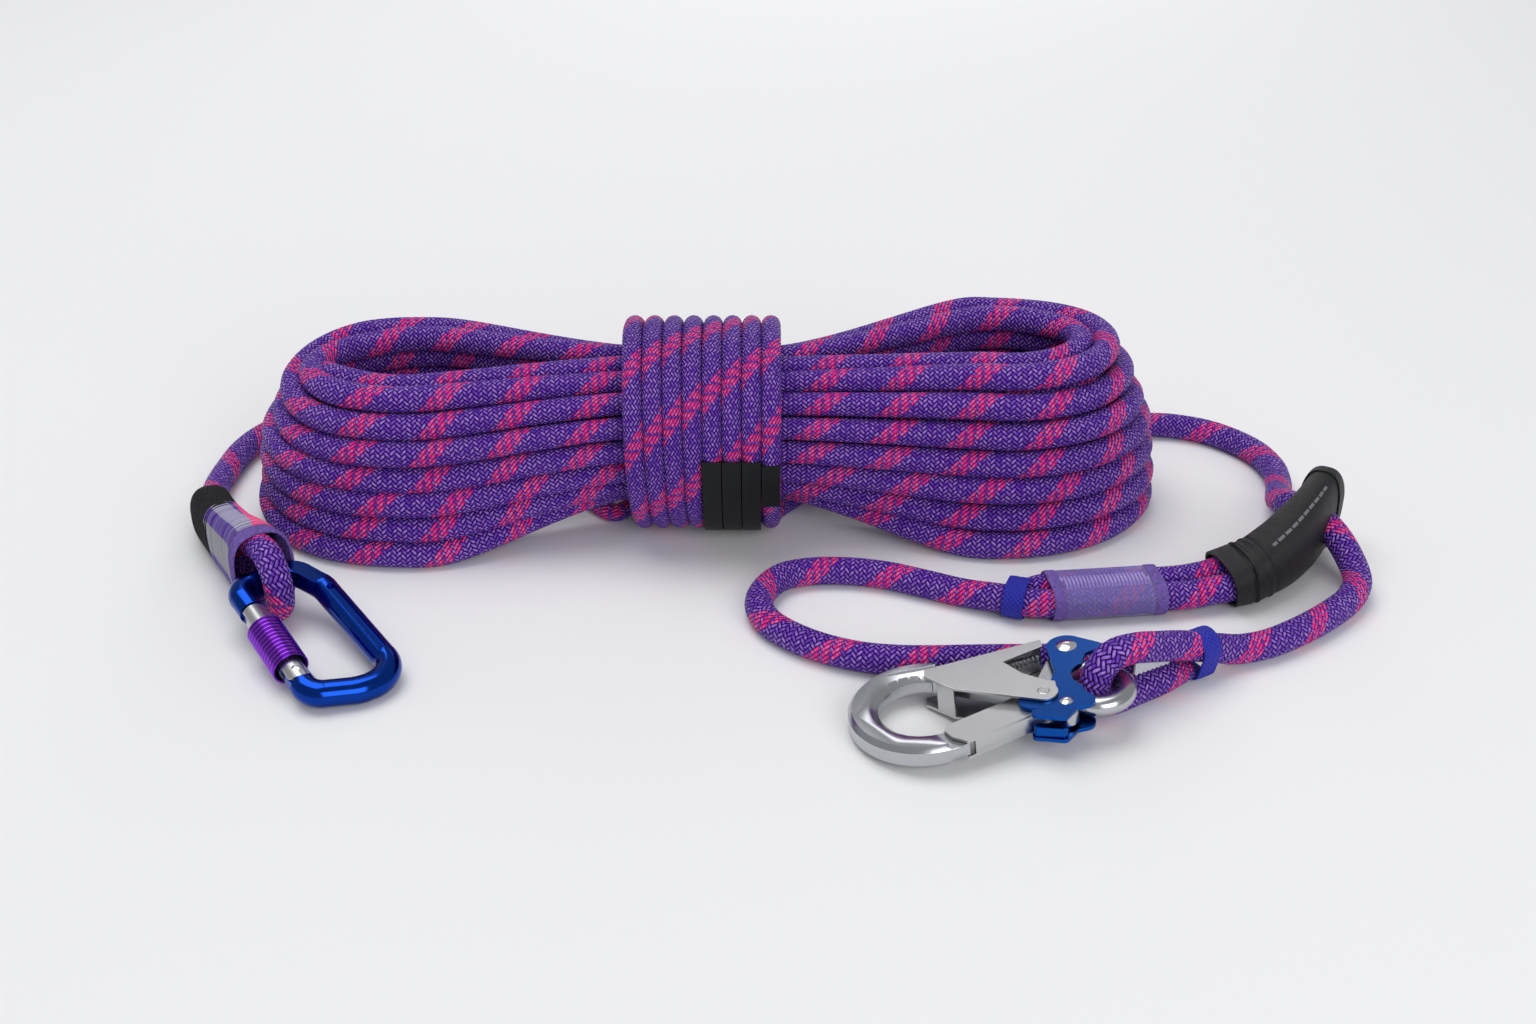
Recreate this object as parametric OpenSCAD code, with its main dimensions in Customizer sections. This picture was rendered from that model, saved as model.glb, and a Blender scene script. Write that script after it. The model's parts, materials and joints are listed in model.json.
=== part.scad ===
// Dynamic climbing rope, coiled and tied in the middle as a hank.
// The left tail ends in a sewn eye with a screw-gate carabiner. The right tail ends in
// an eye with a double-action snap hook, and a lanyard leaves that eye, loops back and
// holds the right tail in its own sleeved eye.
// Millimetres, Z up. The part lies on the plane z = 0 and is centred on the origin.

/* [Rope] */
// Diameter of the rope
rope_d = 11; // [10.5:0.1:11.2]
// Diameter that a cut rope end is tapered to
rope_end_d = 6.5; // [5:0.5:8]

/* [Hank] */
// Length of each lobe, from the middle of its round end to the tip
lobe_length = 69.5; // [68:0.5:74]
// Half of the depth of each lobe
lobe_half_depth = 60; // [56:1:62]
// Height of the left lobe
left_lobe_height = 70; // [62:1:74]
// Height of the right lobe
right_lobe_height = 76; // [66:1:80]
// How far the top turns lie inside the bottom ones, seen from above
lobe_lean = 24; // [18:1:26]
// Width of the band of turns that runs round each lobe
band_w = 22; // [18:1:24]

/* [Waist wrap] */
// Outer radius of the wrap round the middle of the hank
wrap_r = 43.5; // [42:0.5:45]
// Thickness of the wrap round the bundle
wrap_t = 9; // [8.5:0.5:10]
// Number of turns in the wrap
wrap_turns = 8; // [5:1:8]
// Distance from one turn to the next
wrap_pitch = 7.7; // [7.2:0.1:8]
// Thickness of the tape bands on the wrap
tape_t = 0.8; // [0.5:0.1:1.2]
// Angle that a long tape band covers
long_tape_angle = 82; // [60:1:90]
// Angle that the short tape band covers
short_tape_angle = 26; // [20:1:40]

/* [Covers on the rope] */
// Wall of the black collar and of the sleeve on the lanyard eye
fabric_wall = 1.2; // [0.8:0.1:1.3]
// Wall of the clear shrink tubes
shrink_wall = 0.8; // [0.6:0.1:1]
// Thickness of the stitched layer under each shrink tube
stitch_t = 0.5; // [0.3:0.1:0.6]
// Length of the shrink tube on the lanyard
block_length = 44; // [38:1:46]
// Length of each blue whipping
whipping_length = 8.5; // [6:0.5:10]
// Wall of each blue whipping
whipping_wall = 1.2; // [0.8:0.1:1.4]
// Width of a cuff at the end of the sleeve
cuff_length = 9; // [6:0.5:10]

/* [Carabiner] */
// Diameter of the forged bar
bar_d = 10; // [9:0.5:10]
// Distance from the rope seat to the middle of the bow
carabiner_reach = 72.5; // [71:0.5:76]
// Width between bar centres at the bow
bow_w = 31; // [30:0.5:34]
// Distance from the hinge of the gate back to the middle of the bow
hinge_inset = 17.5; // [17:0.5:18.5]
// Distance from the rope seat to the end of the nose
nose_reach = 14.8; // [14.6:0.1:15.2]
// Diameter of the gate
gate_d = 9; // [8.4:0.2:9.4]
// Outer diameter of the screw sleeve
screw_sleeve_d = 13.5; // [12.6:0.1:14]
// Length of the screw sleeve
screw_sleeve_length = 24; // [20:1:24]
// Diameter of the gate's rivet
gate_rivet_d = 3; // [2.5:0.1:3.4]
// Thickness of the tang that carries the gate
tang_t = 4; // [3.4:0.1:4.4]
// Width of the groove along the spine
groove_w = 3; // [2:0.2:4]
// Depth of the groove along the spine
groove_depth = 1.4; // [1:0.1:2]

/* [Snap hook] */
// Radius of the hook's ring, to the middle of its bar
ring_r = 20.8; // [20.4:0.1:21.2]
// Width of the ring's bar, seen from above
ring_w = 10.4; // [9.6:0.2:10.8]
// Height of the ring's bar
ring_h = 8.5; // [8:0.1:9]
// Thickness of the flat web that carries the pins
web_t = 5; // [4.6:0.1:5.4]
// Radius of the shackle eye, to the middle of its bar
shackle_r = 10; // [9.8:0.1:10.4]
// Diameter of the shackle's bar
shackle_bar_d = 7; // [6.4:0.1:7.1]
// Thickness of the plates of the gate and the lever
channel_t = 1; // [0.9:0.1:1.2]
// Thickness of the blue housing plates
housing_t = 1.4; // [1.2:0.1:1.7]
// Diameter of the pin that the gate and the lever turn on
pivot_d = 4; // [3:0.2:4.6]
// Diameter of the small rivet
small_rivet_d = 3; // [2.4:0.1:3.6]
// Diameter of the big rivet
big_rivet_d = 5; // [4:0.2:6]
// Outer diameter of the lever's coil spring
lever_spring_d = 4; // [3.6:0.1:4]
// Diameter of the spring wire
spring_wire_d = 0.9; // [0.7:0.1:1]

/* [Hidden] */
$fn = 48;

purple = "#5b2fa0";
blue = "#1440a0";
silver = "#c4c6c8";

rope_r = rope_d / 2;
bundle_r = wrap_r - wrap_t;
end_r = rope_end_d / 2;
// Clearance of a pin in the piece that turns on it
pin_gap = 0.05;
// Gap between faces that pass each other
face_gap = 0.2;
// Gap between a layer and the one that it covers
layer_gap = 0.15;

// ---------------------------------------------------------------- vectors and skins

function unit(v) = v / norm(v);
function last(v) = v[len(v) - 1];
function tangents(p) = [for (i = [0 : len(p) - 1])
    unit(p[min(i + 1, len(p) - 1)] - p[max(i - 1, 0)])];
// Normals carried along a curve, each one turned as little as possible
function carried(t) = [for (i = 0, n = unit(cross([0, 0, 1], t[0])); i < len(t);
    n = i + 1 < len(t) ? unit(n - (n * t[i + 1]) * t[i + 1]) : n, i = i + 1) n];

// Triangles between ring i and ring k of m points, for a skin whose outside is outward
function strip(i, k, m) = [for (j = [0 : m - 1]) let (l = (j + 1) % m)
    each [[i * m + j, k * m + j, k * m + l], [i * m + j, k * m + l, i * m + l]]];
function flipped(f) = [for (t = f) [t[0], t[2], t[1]]];

// Solid skin over a list of rings, closed by flat ends
module skin(rings) {
    m = len(rings[0]);
    n = len(rings);
    polyhedron(points = [for (r = rings) each r],
        faces = concat([for (i = [0 : n - 2]) each strip(i, i + 1, m)],
            [[for (j = [0 : m - 1]) j]],
            [[for (j = [m - 1 : -1 : 0]) (n - 1) * m + j]]));
}

// Solid skin over rings that run round and meet again
module ring_skin(rings) {
    m = len(rings[0]);
    n = len(rings);
    polyhedron(points = [for (r = rings) each r],
        faces = [for (i = [0 : n - 1]) each strip(i, (i + 1) % n, m)]);
}

// Tube wall between outer and inner rings, open at both ends
module shell_skin(outer, inner) {
    m = len(outer[0]);
    n = len(outer);
    rings = concat(outer, inner);
    polyhedron(points = [for (r = rings) each r],
        faces = concat([for (i = [0 : n - 2]) each strip(i, i + 1, m)],
            [for (i = [0 : n - 2]) each flipped(strip(n + i, n + i + 1, m))],
            flipped(strip(0, n, m)), strip(n - 1, 2 * n - 1, m)));
}

// ---------------------------------------------------------------- rope lengths

cord_sides = 10;

// Rope along a route; an end that is cut is tapered
function cord_radius(i, n, taper_start, taper_end) =
    (i == 0 && taper_start) || (i == n - 1 && taper_end) ? end_r : rope_r;
module cord(route, taper_start = false, taper_end = false) {
    t = tangents(route);
    side = carried(t);
    skin([for (i = [0 : len(route) - 1])
        let (r = cord_radius(i, len(route), taper_start, taper_end), up = cross(t[i], side[i]))
        [for (j = [0 : cord_sides - 1]) let (a = 360 * j / cord_sides)
            route[i] + r * (cos(a) * side[i] + sin(a) * up)]]);
}

// Left tail: from behind the left lobe to the carabiner's bar, round it and back
left_route = [[-186, 114, 7], [-202, 123, 5.5], [-217, 125, 5.5], [-228, 115, 5.5],
    [-234, 99, 5.5], [-236, 80, 5.5], [-236, 63, 6], [-233, 47, 7.2], [-227.5, 30, 7.2],
    [-218, 13, 7], [-207, -4, 6.8], [-196.5, -19, 6.2], [-189, -30, 5.5],
    [-186.2, -34.4, 7], [-184.1, -37.6, 11.1], [-183.3, -38.9, 16.7],
    [-184.1, -37.6, 22.3], [-186.2, -34.4, 26.4], [-189, -30, 27.9], [-196.5, -19, 26.3], [-207, -4, 22.4],
    [-217, 11, 19.2], [-225, 25, 18.2]];

// Right tail: from behind the right lobe, through the lanyard's eye, round to the
// whipping, over the shackle's bar and back under it
right_route = [[138, 124.4, 5.5], [152, 125.5, 5.5], [168, 125, 5.5], [182, 124, 5.5],
    [197, 118, 5.5], [208, 108, 5.5], [216, 95, 5.5], [219, 80, 5.5], [217.5, 66, 5.8],
    [213.5, 52, 8.5], [210.3, 39.4, 12.9], [211.8, 27.6, 17.2], [217.5, 16, 18.75],
    [223, 5, 16.2], [226.8, -5.5, 10.8], [227.5, -15, 6.8], [221.5, -26, 5.5],
    [211, -37, 5.5], [196, -49, 5.5],
    [183, -57, 5.5], [171, -62, 6.3], [162, -66, 9.3], [154, -70.5, 12.9],
    [145, -76, 17], [135, -83, 21.2], [127, -88, 24], [119.7, -92.3, 24.9],
    [115.6, -94.9, 23.6], [112.6, -96.8, 20], [111.5, -97.5, 15.2], [112.6, -96.8, 10.4],
    [115.6, -94.9, 6.8], [119.7, -92.3, 5.5], [128, -87, 5.5], [139, -80, 5.5],
    [150, -72.8, 4.6]];

// Lanyard: from the whipping behind the hook, round the front loop, through the sewn
// block to its eye round the right tail, and back into the block
lanyard_route = [[147, -66.6, 5.3], [139.5, -67.2, 5.5], [131, -66.5, 5.5], [108, -67, 5.5],
    [80, -67.5, 5.5], [48, -68, 5.5], [32, -65.5, 5.5], [18, -59.5, 5.5], [6, -50.5, 5.5],
    [-1.5, -41, 5.5], [-4.5, -30, 5.5], [-2, -19, 5.5], [5, -9.5, 5.5], [17, -5.5, 5.5],
    [31, -5.5, 5.5], [45, -8.5, 5.5], [59, -14.5, 5.5], [74, -21.5, 5.5], [88, -28, 7.1],
    [97, -31.2, 7.2], [105.6, -32.1, 7.2], [149.6, -27.1, 7.2], [161, -25.5, 7.2],
    [174, -22.6, 8.2], [186, -18.4, 7.8], [197, -10.6, 7.4], [208, 1.6, 7.6], [217.5, 16, 7.6],
    [221, 22.6, 9.1], [223.3, 26.7, 13.1], [224.2, 28.3, 18.75], [223.3, 26.7, 24.4],
    [221, 22.6, 28.4], [217.5, 16, 29.9], [207, 3.2, 27.2], [196, -5.2, 21.8],
    [185, -10, 15.2], [174, -12, 9.8], [162, -13.8, 7.4], [148.4, -15.9, 7.2], [104.4, -20.9, 7.2],
    [96, -21.6, 7]];

module left_tail() {
    color(purple) cord(left_route, taper_end = true);
}
module right_tail() {
    color(purple) cord(right_route, taper_end = true);
}
module lanyard_rope() {
    color(purple) cord(lanyard_route, taper_start = true, taper_end = true);
}

// ---------------------------------------------------------------- hank

waist_x = -26.75;
waist_y = 50;
left_lobe = [-146, 62];
right_lobe = [94, 69.5];
wrap_w = wrap_turns * wrap_pitch;
// Half of the slit between the front and back strands at the waist
slit = 0.4;
waist_overhang = 3;

// Section of the band: how far inside the outline, how high up the lobe, both as shares
band_section = [[0.1, 0, 0], [0, 0, 0.09], [0, 0.3, 0.5], [0, 1, 0.91], [0.14, 1, 1],
    [0.86, 1, 1], [1, 1, 0.91], [1, 0.3, 0.5], [1, 0, 0.09], [0.9, 0, 0]];

// One section on the round part of a lobe, at the angle a seen from the lobe's middle
function lobe_ring(middle, height, a) = [for (s = band_section)
    let (inset = s[0] * band_w + s[1] * lobe_lean)
    [middle.x + (lobe_length - inset * 1.1) * cos(a),
        middle.y + (lobe_half_depth - inset) * sin(a), s[2] * height]];
// One half-round section of the bundle at the waist; side is -1 in front and 1 behind
waist_angles = [-84, -66, -22, 22, 66, 84];
function waist_ring(x, side) = concat(
    [for (k = [0 : 4]) let (a = -80 + 40 * k)
        [x, waist_y + side * (slit + (bundle_r - layer_gap - slit) * cos(a)),
            wrap_r + (bundle_r - layer_gap) * sin(a)]],
    [for (k = [0 : 4]) [x, waist_y + side * slit,
        wrap_r + (bundle_r - layer_gap) * (0.97 - 0.485 * k)]]);
right_angles = [for (a = [-96 : 24 : 96]) a];
left_angles = [for (a = [84 : 24 : 276]) a];
waist_right = waist_x + wrap_w / 2 + waist_overhang;
waist_left = waist_x - wrap_w / 2 - waist_overhang;

module hank() {
    color(purple) ring_skin(concat(
        [waist_ring(waist_right, -1)],
        [for (a = right_angles) lobe_ring(right_lobe, right_lobe_height, a)],
        [waist_ring(waist_right, 1), waist_ring(waist_left, 1)],
        [for (a = left_angles) lobe_ring(left_lobe, left_lobe_height, a)],
        [waist_ring(waist_left, -1)]));
}

// Section of one turn of the wrap, grown by g, with the wrap's axis along Y
module turn_section(g) {
    r = wrap_pitch / 2;
    for (x = [bundle_r + r, wrap_r - r])
        translate([x, 0]) circle(r + g);
    translate([bundle_r + r, -r - g]) square([wrap_r - bundle_r - 2 * r, 2 * (r + g)]);
}
function turn_x(i) = waist_x + (i - (wrap_turns - 1) / 2) * wrap_pitch;
// Puts a piece that was revolved about Z round the waist, at turn i
module at_turn(i) {
    translate([turn_x(i), waist_y, wrap_r]) rotate([0, 90, 0]) children();
}

module waist_wrap() {
    color(purple)
    for (i = [0 : wrap_turns - 1])
        at_turn(i) rotate_extrude($fn = 72) turn_section(0);
}

// Tape on the front of a turn, from the angle below the front up over its own angle
module tape_band(i, low, angle) {
    at_turn(i) rotate([0, 0, 270 + low]) rotate_extrude(angle = angle, $fn = 72)
        difference() {
            translate([(wrap_r + bundle_r) / 2, -wrap_pitch / 2 + 0.2])
                square([(wrap_r - bundle_r) / 2 + tape_t, wrap_pitch - 0.4]);
            turn_section(0.01);
        }
}
long_tape_top = 5;
short_tape_top = 3;
module long_tape_bands() {
    color("#1d1f22") for (i = [wrap_turns - 4 : wrap_turns - 2])
        tape_band(i, -long_tape_top, long_tape_angle);
}
module short_tape_band() {
    color("#1d1f22") tape_band(wrap_turns - 1, -short_tape_top, short_tape_angle);
}

// ---------------------------------------------------------------- covers on the rope

oval_sides = 16;
// Rounded oval ring at a station [x, y, z, half width, half height], grown by g
function squared(v) = sign(v) * pow(abs(v), 0.7);
function oval_ring(s, t, g) =
    let (side = unit(cross([0, 0, 1], t)), up = cross(t, side))
    [for (j = [0 : oval_sides - 1]) let (a = 360 * j / oval_sides)
        [s[0], s[1], s[2]] + (s[3] + g) * squared(cos(a)) * side
            + (s[4] + g) * squared(sin(a)) * up];
function oval_rings(stations, g) =
    let (t = tangents([for (s = stations) [s[0], s[1], s[2]]]))
    [for (i = [0 : len(stations) - 1]) oval_ring(stations[i], t[i], g)];
// Cover of the given wall, g outside the inner ovals that the stations describe
module cover(stations, g, wall) {
    shell_skin(oval_rings(stations, g + wall), oval_rings(stations, g));
}

// Inner ovals of the left collar and of the left shrink tube, to the flared mouth
collar_stations = [[-235, 53, 7.2, 6, 5.8], [-231, 41, 8.6, 6.6, 7.2],
    [-227.4, 29.05, 12.2, 7.4, 10.8], [-226.8, 28, 12.3, 7.4, 10.9]];
left_tube_stations = [[-226.6, 27.6, 12.2, 6.8, 11], [-218, 13, 13.2, 6.8, 11.6],
    [-207, -4, 14.8, 7.2, 13.2], [-199, -15.5, 16.4, 8.4, 15], [-192.6, -24.6, 17.1, 11, 15.5]];
left_stitch_stations = [[-223, 21.5, 12.6, 6.5, 10.8], [-217, 11.4, 13.4, 6.5, 11.4],
    [-207, -4, 14.8, 6.6, 12.9], [-203, -10, 15.4, 6.7, 13.4]];

module left_collar() {
    color("#26272a") cover(collar_stations, 0, fabric_wall);
}
module left_stitching() {
    color("#c9a8e0") cover(left_stitch_stations, 0, stitch_t - layer_gap);
}
module left_shrink_tube() {
    color("#b9b4d8", 0.5) cover(left_tube_stations, stitch_t, shrink_wall);
}

// Stadium round the two legs of the block, grown by g
block_start = [105.6, -26.5, 7.2];
block_turn = 6.5;
leg_gap = 11.2;
module block_oval(g, length) {
    r = rope_r + g;
    rotate([90, 0, 90]) linear_extrude(length) {
        for (y = [-leg_gap / 2, leg_gap / 2]) translate([y, 0]) circle(r);
        square([leg_gap, 2 * r], center = true);
    }
}
module block_ring(inner, wall, from, length) {
    translate(block_start) rotate([0, 0, block_turn]) translate([from, 0, 0])
        difference() {
            block_oval(inner + wall, length);
            translate([-1, 0, 0]) block_oval(inner, length + 2);
        }
}
stitch_inset = 4;
module block_stitching() {
    color("#d9c9f0") block_ring(layer_gap, stitch_t - layer_gap, stitch_inset,
        block_length - 2 * stitch_inset);
}
module block_shrink_tube() {
    color("#9a86d0", 0.5) block_ring(stitch_t + layer_gap, shrink_wall, 0, block_length);
}

// Band round the strands [across, up, radius] at a place on the rope
module whipping(place, turn, strands) {
    module bundle(g, length) {
        rotate([90, 0, 90]) linear_extrude(length) hull()
            for (s = strands) translate([s[0], s[1]]) circle(s[2] + g, $fn = 32);
    }
    translate(place) rotate([0, 0, turn]) translate([-whipping_length / 2, 0, 0])
        difference() {
            bundle(whipping_wall, whipping_length);
            translate([-1, 0, 0]) bundle(0, whipping_length + 2);
        }
}
module hook_whipping() {
    color("#1a2ea8") whipping([154, -70.5, 0], 30,
        [[0, 12.9, rope_r + 1.3], [-1, 4.9, end_r + 0.6], [6.6, 5.2, end_r + 0.6]]);
}
module block_whipping() {
    color("#1a2ea8") whipping([93, -29.7, 0], -18,
        [[0, 7.2, rope_r + 0.4], [6.4, 7.2, end_r + 1.2]]);
}

// Serrated edge of the sewing tape between the legs of the hook's eye
tag_length = 17;
tag_teeth = 8;
tag_t = 0.8;
tag_from = 13;
tag_to = 11.9;
function tag_edge(k) = tag_from + (tag_to - tag_from) * k / tag_teeth;
module hook_eye_tag() {
    color("#b9bbc0")
    translate([127, -88, 0]) rotate([0, 0, 33.5]) rotate([90, 0, 0])
        linear_extrude(tag_t, center = true)
            polygon(concat([[0, 17.6], [0, tag_from]],
                [for (k = [0 : tag_teeth - 1]) each
                    [[(k + 0.5) * tag_length / tag_teeth, tag_edge(k + 0.5) - 0.7],
                    [(k + 1) * tag_length / tag_teeth, tag_edge(k + 1)]]],
                [[tag_length, 12.2], [9.4, 14.7]]));
}

// Inner ovals of the sleeve on the lanyard's eye, from its mouth to its tip
sleeve_stations = [[174, -17.3, 9, 11.6, 6.8], [185.5, -14.2, 11.4, 10.4, 9.3],
    [196.5, -7.9, 14.4, 8.8, 12.7], [207.5, 2.4, 17.3, 7.4, 15.5], [213, 9.2, 18.4, 6.8, 16.4],
    [217.5, 16, 18.75, 6.5, 16.7], [221.6, 23.5, 18.75, 6.4, 16],
    [223.8, 27.4, 18.7, 6.2, 13.8], [225.6, 30.7, 18.65, 5.6, 9.6],
    [227.2, 33.6, 18.6, 3.6, 4.6]];
// Where the right tail passes through the sleeve, and its heading
tail_cross = [217.5, 16, 18.75];
tail_heading = -63.6;
module tail_hole(r) {
    translate(tail_cross) rotate([0, 0, tail_heading]) rotate([0, 90, 0])
        cylinder(h = 44, r = r, center = true);
}
module eye_sleeve() {
    color("#1b1b1d") difference() {
        cover(sleeve_stations, 0, fabric_wall);
        tail_hole(rope_r + 1.4);
    }
}
mouth_stations = [[174.6, -17.14, 9.12, 11.54, 6.93], [182.5, -15, 10.77, 10.7, 8.65]];
tip_stations = [[219.8, 20.2, 18.75, 6.45, 16.32], [221.6, 23.5, 18.75, 6.4, 16],
    [223.8, 27.4, 18.7, 6.2, 13.8], [225.4, 30.33, 18.66, 5.67, 10.1]];
cuff_wall = 0.8;
module sleeve_mouth_cuff() {
    color("#101012") cover(mouth_stations, fabric_wall + layer_gap, cuff_wall - layer_gap);
}
module sleeve_tip_cuff() {
    color("#101012") difference() {
        cover(tip_stations, fabric_wall + layer_gap, cuff_wall - layer_gap);
        tail_hole(rope_r + 1.8);
    }
}

// ---------------------------------------------------------------- bars and springs

function turn_at(a, b, c) = let (d = unit(b - a), e = unit(c - b))
    atan2(d.x * e.y - d.y * e.x, d * e);
function setback(pts, bends, i) = i == 0 || i == len(pts) - 1 ? 0
    : bends[i - 1] * tan(abs(turn_at(pts[i - 1], pts[i], pts[i + 1])) / 2);

// Round bar through the corners pts, bent at each inner corner. The straights are
// a hair thinner than the bends and run into them, so that no two faces coincide.
hair = 0.08;
run_in = 0.8;
module bent_bar(pts, bends, r) {
    for (i = [0 : len(pts) - 2]) {
        d = unit(pts[i + 1] - pts[i]);
        start = setback(pts, bends, i) - (i == 0 ? 0 : run_in);
        end = setback(pts, bends, i + 1) - (i == len(pts) - 2 ? 0 : run_in);
        from = pts[i] + d * start;
        length = norm(pts[i + 1] - pts[i]) - start - end;
        if (length > 2 * run_in)
            translate([from.x, from.y, 0]) rotate([0, 90, atan2(d.y, d.x)])
                cylinder(h = length, r = r - hair);
    }
    for (i = [1 : len(pts) - 2]) {
        bend = bends[i - 1];
        turn = turn_at(pts[i - 1], pts[i], pts[i + 1]);
        d = unit(pts[i] - pts[i - 1]);
        inward = sign(turn) * [-d.y, d.x];
        middle = pts[i] - d * setback(pts, bends, i) + inward * bend;
        start = atan2(-inward.y, -inward.x);
        translate([middle.x, middle.y, 0]) rotate([0, 0, min(start, start + turn)])
            rotate_extrude(angle = abs(turn)) translate([bend, 0]) circle(r);
    }
}

// Flat outline round two circles [x, y, r]; the corners lie just inside the circles
module link(a, b) {
    d = [b.x - a.x, b.y - a.y];
    gap = norm(d);
    tilt = acos((a.z - b.z) / gap);
    heading = atan2(d.y, d.x);
    for (c = [a, b]) translate([c.x, c.y]) circle(c.z);
    polygon([for (e = [[a, -1], [b, -1], [b, 1], [a, 1]])
        [e[0].x, e[0].y]
            + 0.99 * e[0].z * [cos(heading + e[1] * tilt), sin(heading + e[1] * tilt)]]);
}

// Coil spring along X from the origin
coil_steps = 10;
module coil_spring(length, d, wire, turns) {
    r = (d - wire) / 2;
    route = [for (i = [0 : turns * coil_steps]) let (a = 360 * i / coil_steps)
        [wire / 2 + (length - wire) * i / (turns * coil_steps), r * cos(a), r * sin(a)]];
    t = tangents(route);
    skin([for (i = [0 : len(route) - 1])
        let (n = unit([0, route[i].y, route[i].z]), up = cross(t[i], n))
        [for (j = [0 : 5]) route[i] + wire / 2 * (cos(60 * j) * n + sin(60 * j) * up)]]);
}

// ---------------------------------------------------------------- carabiner

// The rope seat on the top bar is the local origin, X runs to the bow, Y to the spine
carabiner_seat = [-189, -30, 16.7];
carabiner_heading = -52;
bar_r = bar_d / 2;
carabiner_pitch = asin((carabiner_seat.z - bar_r - 0.1) / carabiner_reach);
nose_side = 13;
gate_y = -bow_w / 2;
hinge_reach = carabiner_reach - hinge_inset;
hinge = [hinge_reach, gate_y];
gate_r = gate_d / 2;
tang_r = gate_r - 0.3;
frame_start = hinge_reach + bar_r;
nose_y = -nose_side - 0.5;
gate_heading = atan2(nose_y - gate_y, nose_reach - hinge_reach);
gate_length = norm([nose_reach, nose_y] - hinge) - 0.7;

module at_carabiner() {
    translate(carabiner_seat) rotate([0, carabiner_pitch, carabiner_heading]) children();
}
// Gate frame: the hinge is the origin and X runs along the gate to the nose
module at_gate() {
    at_carabiner() translate([hinge.x, hinge.y, 0]) rotate([0, 0, gate_heading]) children();
}

// The shoulder is where the spine turns in towards the rope
shoulder = [14.5, 14.8];
top_corner = [0, 9.5];
frame_pts = [[frame_start, gate_y], [frame_start + 6, gate_y], [carabiner_reach, 0],
    [carabiner_reach, bow_w / 2], shoulder, top_corner, [0, -nose_side],
    [nose_reach, nose_y]];
frame_bends = [7, 12, 11, 10, 7, 6];

// Groove along a face of the spine, with round ends
groove_from = shoulder.x + 6;
groove_to = carabiner_reach - 13;
function spine_y(x) = shoulder.y
    + (bow_w / 2 - shoulder.y) * (x - shoulder.x) / (carabiner_reach - shoulder.x);
module spine_groove() {
    linear_extrude(bar_r) link([groove_from, spine_y(groove_from), groove_w / 2],
        [groove_to, spine_y(groove_to), groove_w / 2]);
}
// Thickness of the bar where it is flattened between the rope and the shoulder
shoulder_t = 7.4;
nose_tongue_t = 3;
nose_tongue = 4;

module carabiner_frame() {
    color(blue) at_carabiner() {
        difference() {
            bent_bar(frame_pts, frame_bends, bar_r);
            for (m = [0, 1]) mirror([0, 0, m]) {
                translate([0, 0, bar_r - groove_depth]) spine_groove();
                translate([-bar_r - 1, rope_r + 0.5, shoulder_t / 2])
                    cube([shoulder.x + bar_r + 1, 20, bar_r]);
            }
        }
        difference() {
            union() {
                translate([hinge.x, hinge.y, -tang_t / 2]) cylinder(h = tang_t, r = tang_r);
                translate([hinge.x, hinge.y - tang_r, -tang_t / 2])
                    cube([bar_r, 2 * tang_r, tang_t]);
            }
            translate([hinge.x, hinge.y, -tang_t]) cylinder(h = 2 * tang_t, d = gate_rivet_d);
        }
        translate([nose_reach, nose_y, 0]) rotate([0, 0, gate_heading - 180])
            translate([-1, -bar_r + 1.2, -nose_tongue_t / 2])
                cube([nose_tongue + 1, 2 * bar_r - 2.4, nose_tongue_t]);
    }
}

// Bore for the plunger and its spring, inside the gate's hinge end
plunger_d = 3;
spring_bore = 17;
slot_depth = tang_r + 0.5;
module carabiner_gate() {
    color(silver) at_gate() difference() {
        union() {
            rotate([0, 90, 0]) cylinder(h = gate_length, r = gate_r);
            intersection() {
                translate([0, 0, -gate_r]) cylinder(h = gate_d, r = gate_r);
                rotate([0, 90, 0]) cylinder(h = gate_d, r = gate_r, center = true);
            }
        }
        translate([-gate_d, -gate_d, -tang_t / 2 - 0.15])
            cube([gate_d + slot_depth, 2 * gate_d, tang_t + 0.3]);
        translate([0, 0, -gate_d]) cylinder(h = 2 * gate_d, d = gate_rivet_d + 2 * pin_gap);
        rotate([0, 90, 0]) cylinder(h = spring_bore, d = plunger_d + 2 * pin_gap);
        translate([gate_length - nose_tongue - 0.4, -gate_d, -nose_tongue_t / 2 - 0.3])
            cube([gate_d, 2 * gate_d, nose_tongue_t + 0.6]);
    }
}
module gate_rivet() {
    color("#d8dadc") at_gate()
        translate([0, 0, -gate_r + 0.5]) cylinder(h = gate_d - 1, d = gate_rivet_d);
}
plunger_length = 4;
module gate_plunger() {
    color("#d8dadc") at_gate() translate([tang_r + 0.1, 0, 0]) rotate([0, 90, 0])
        cylinder(h = plunger_length, d = plunger_d);
}
module gate_spring() {
    from = tang_r + 0.1 + plunger_length;
    color("#8f9296") at_gate() translate([from, 0, 0])
        coil_spring(spring_bore - from, plunger_d - 0.3, 0.5, 6);
}

// Ribbed sleeve that screws along the gate; it is drawn screwed back from the nose
sleeve_from = 5;
sleeve_gap = 0.1;
rib_pitch = 1.5;
rib_depth = 0.5;
module screw_sleeve() {
    ribs = floor((screw_sleeve_length - 4) / rib_pitch);
    color("#6a1fb0") at_gate() translate([sleeve_from, 0, 0]) rotate([90, 0, 90])
        rotate_extrude() difference() {
            translate([gate_r + sleeve_gap, 0])
                square([screw_sleeve_d / 2 - gate_r - sleeve_gap, screw_sleeve_length]);
            for (k = [0 : ribs - 1])
                translate([screw_sleeve_d / 2, 2.6 + k * rib_pitch])
                    circle(rib_depth, $fn = 24);
        }
}

// ---------------------------------------------------------------- snap hook

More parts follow.
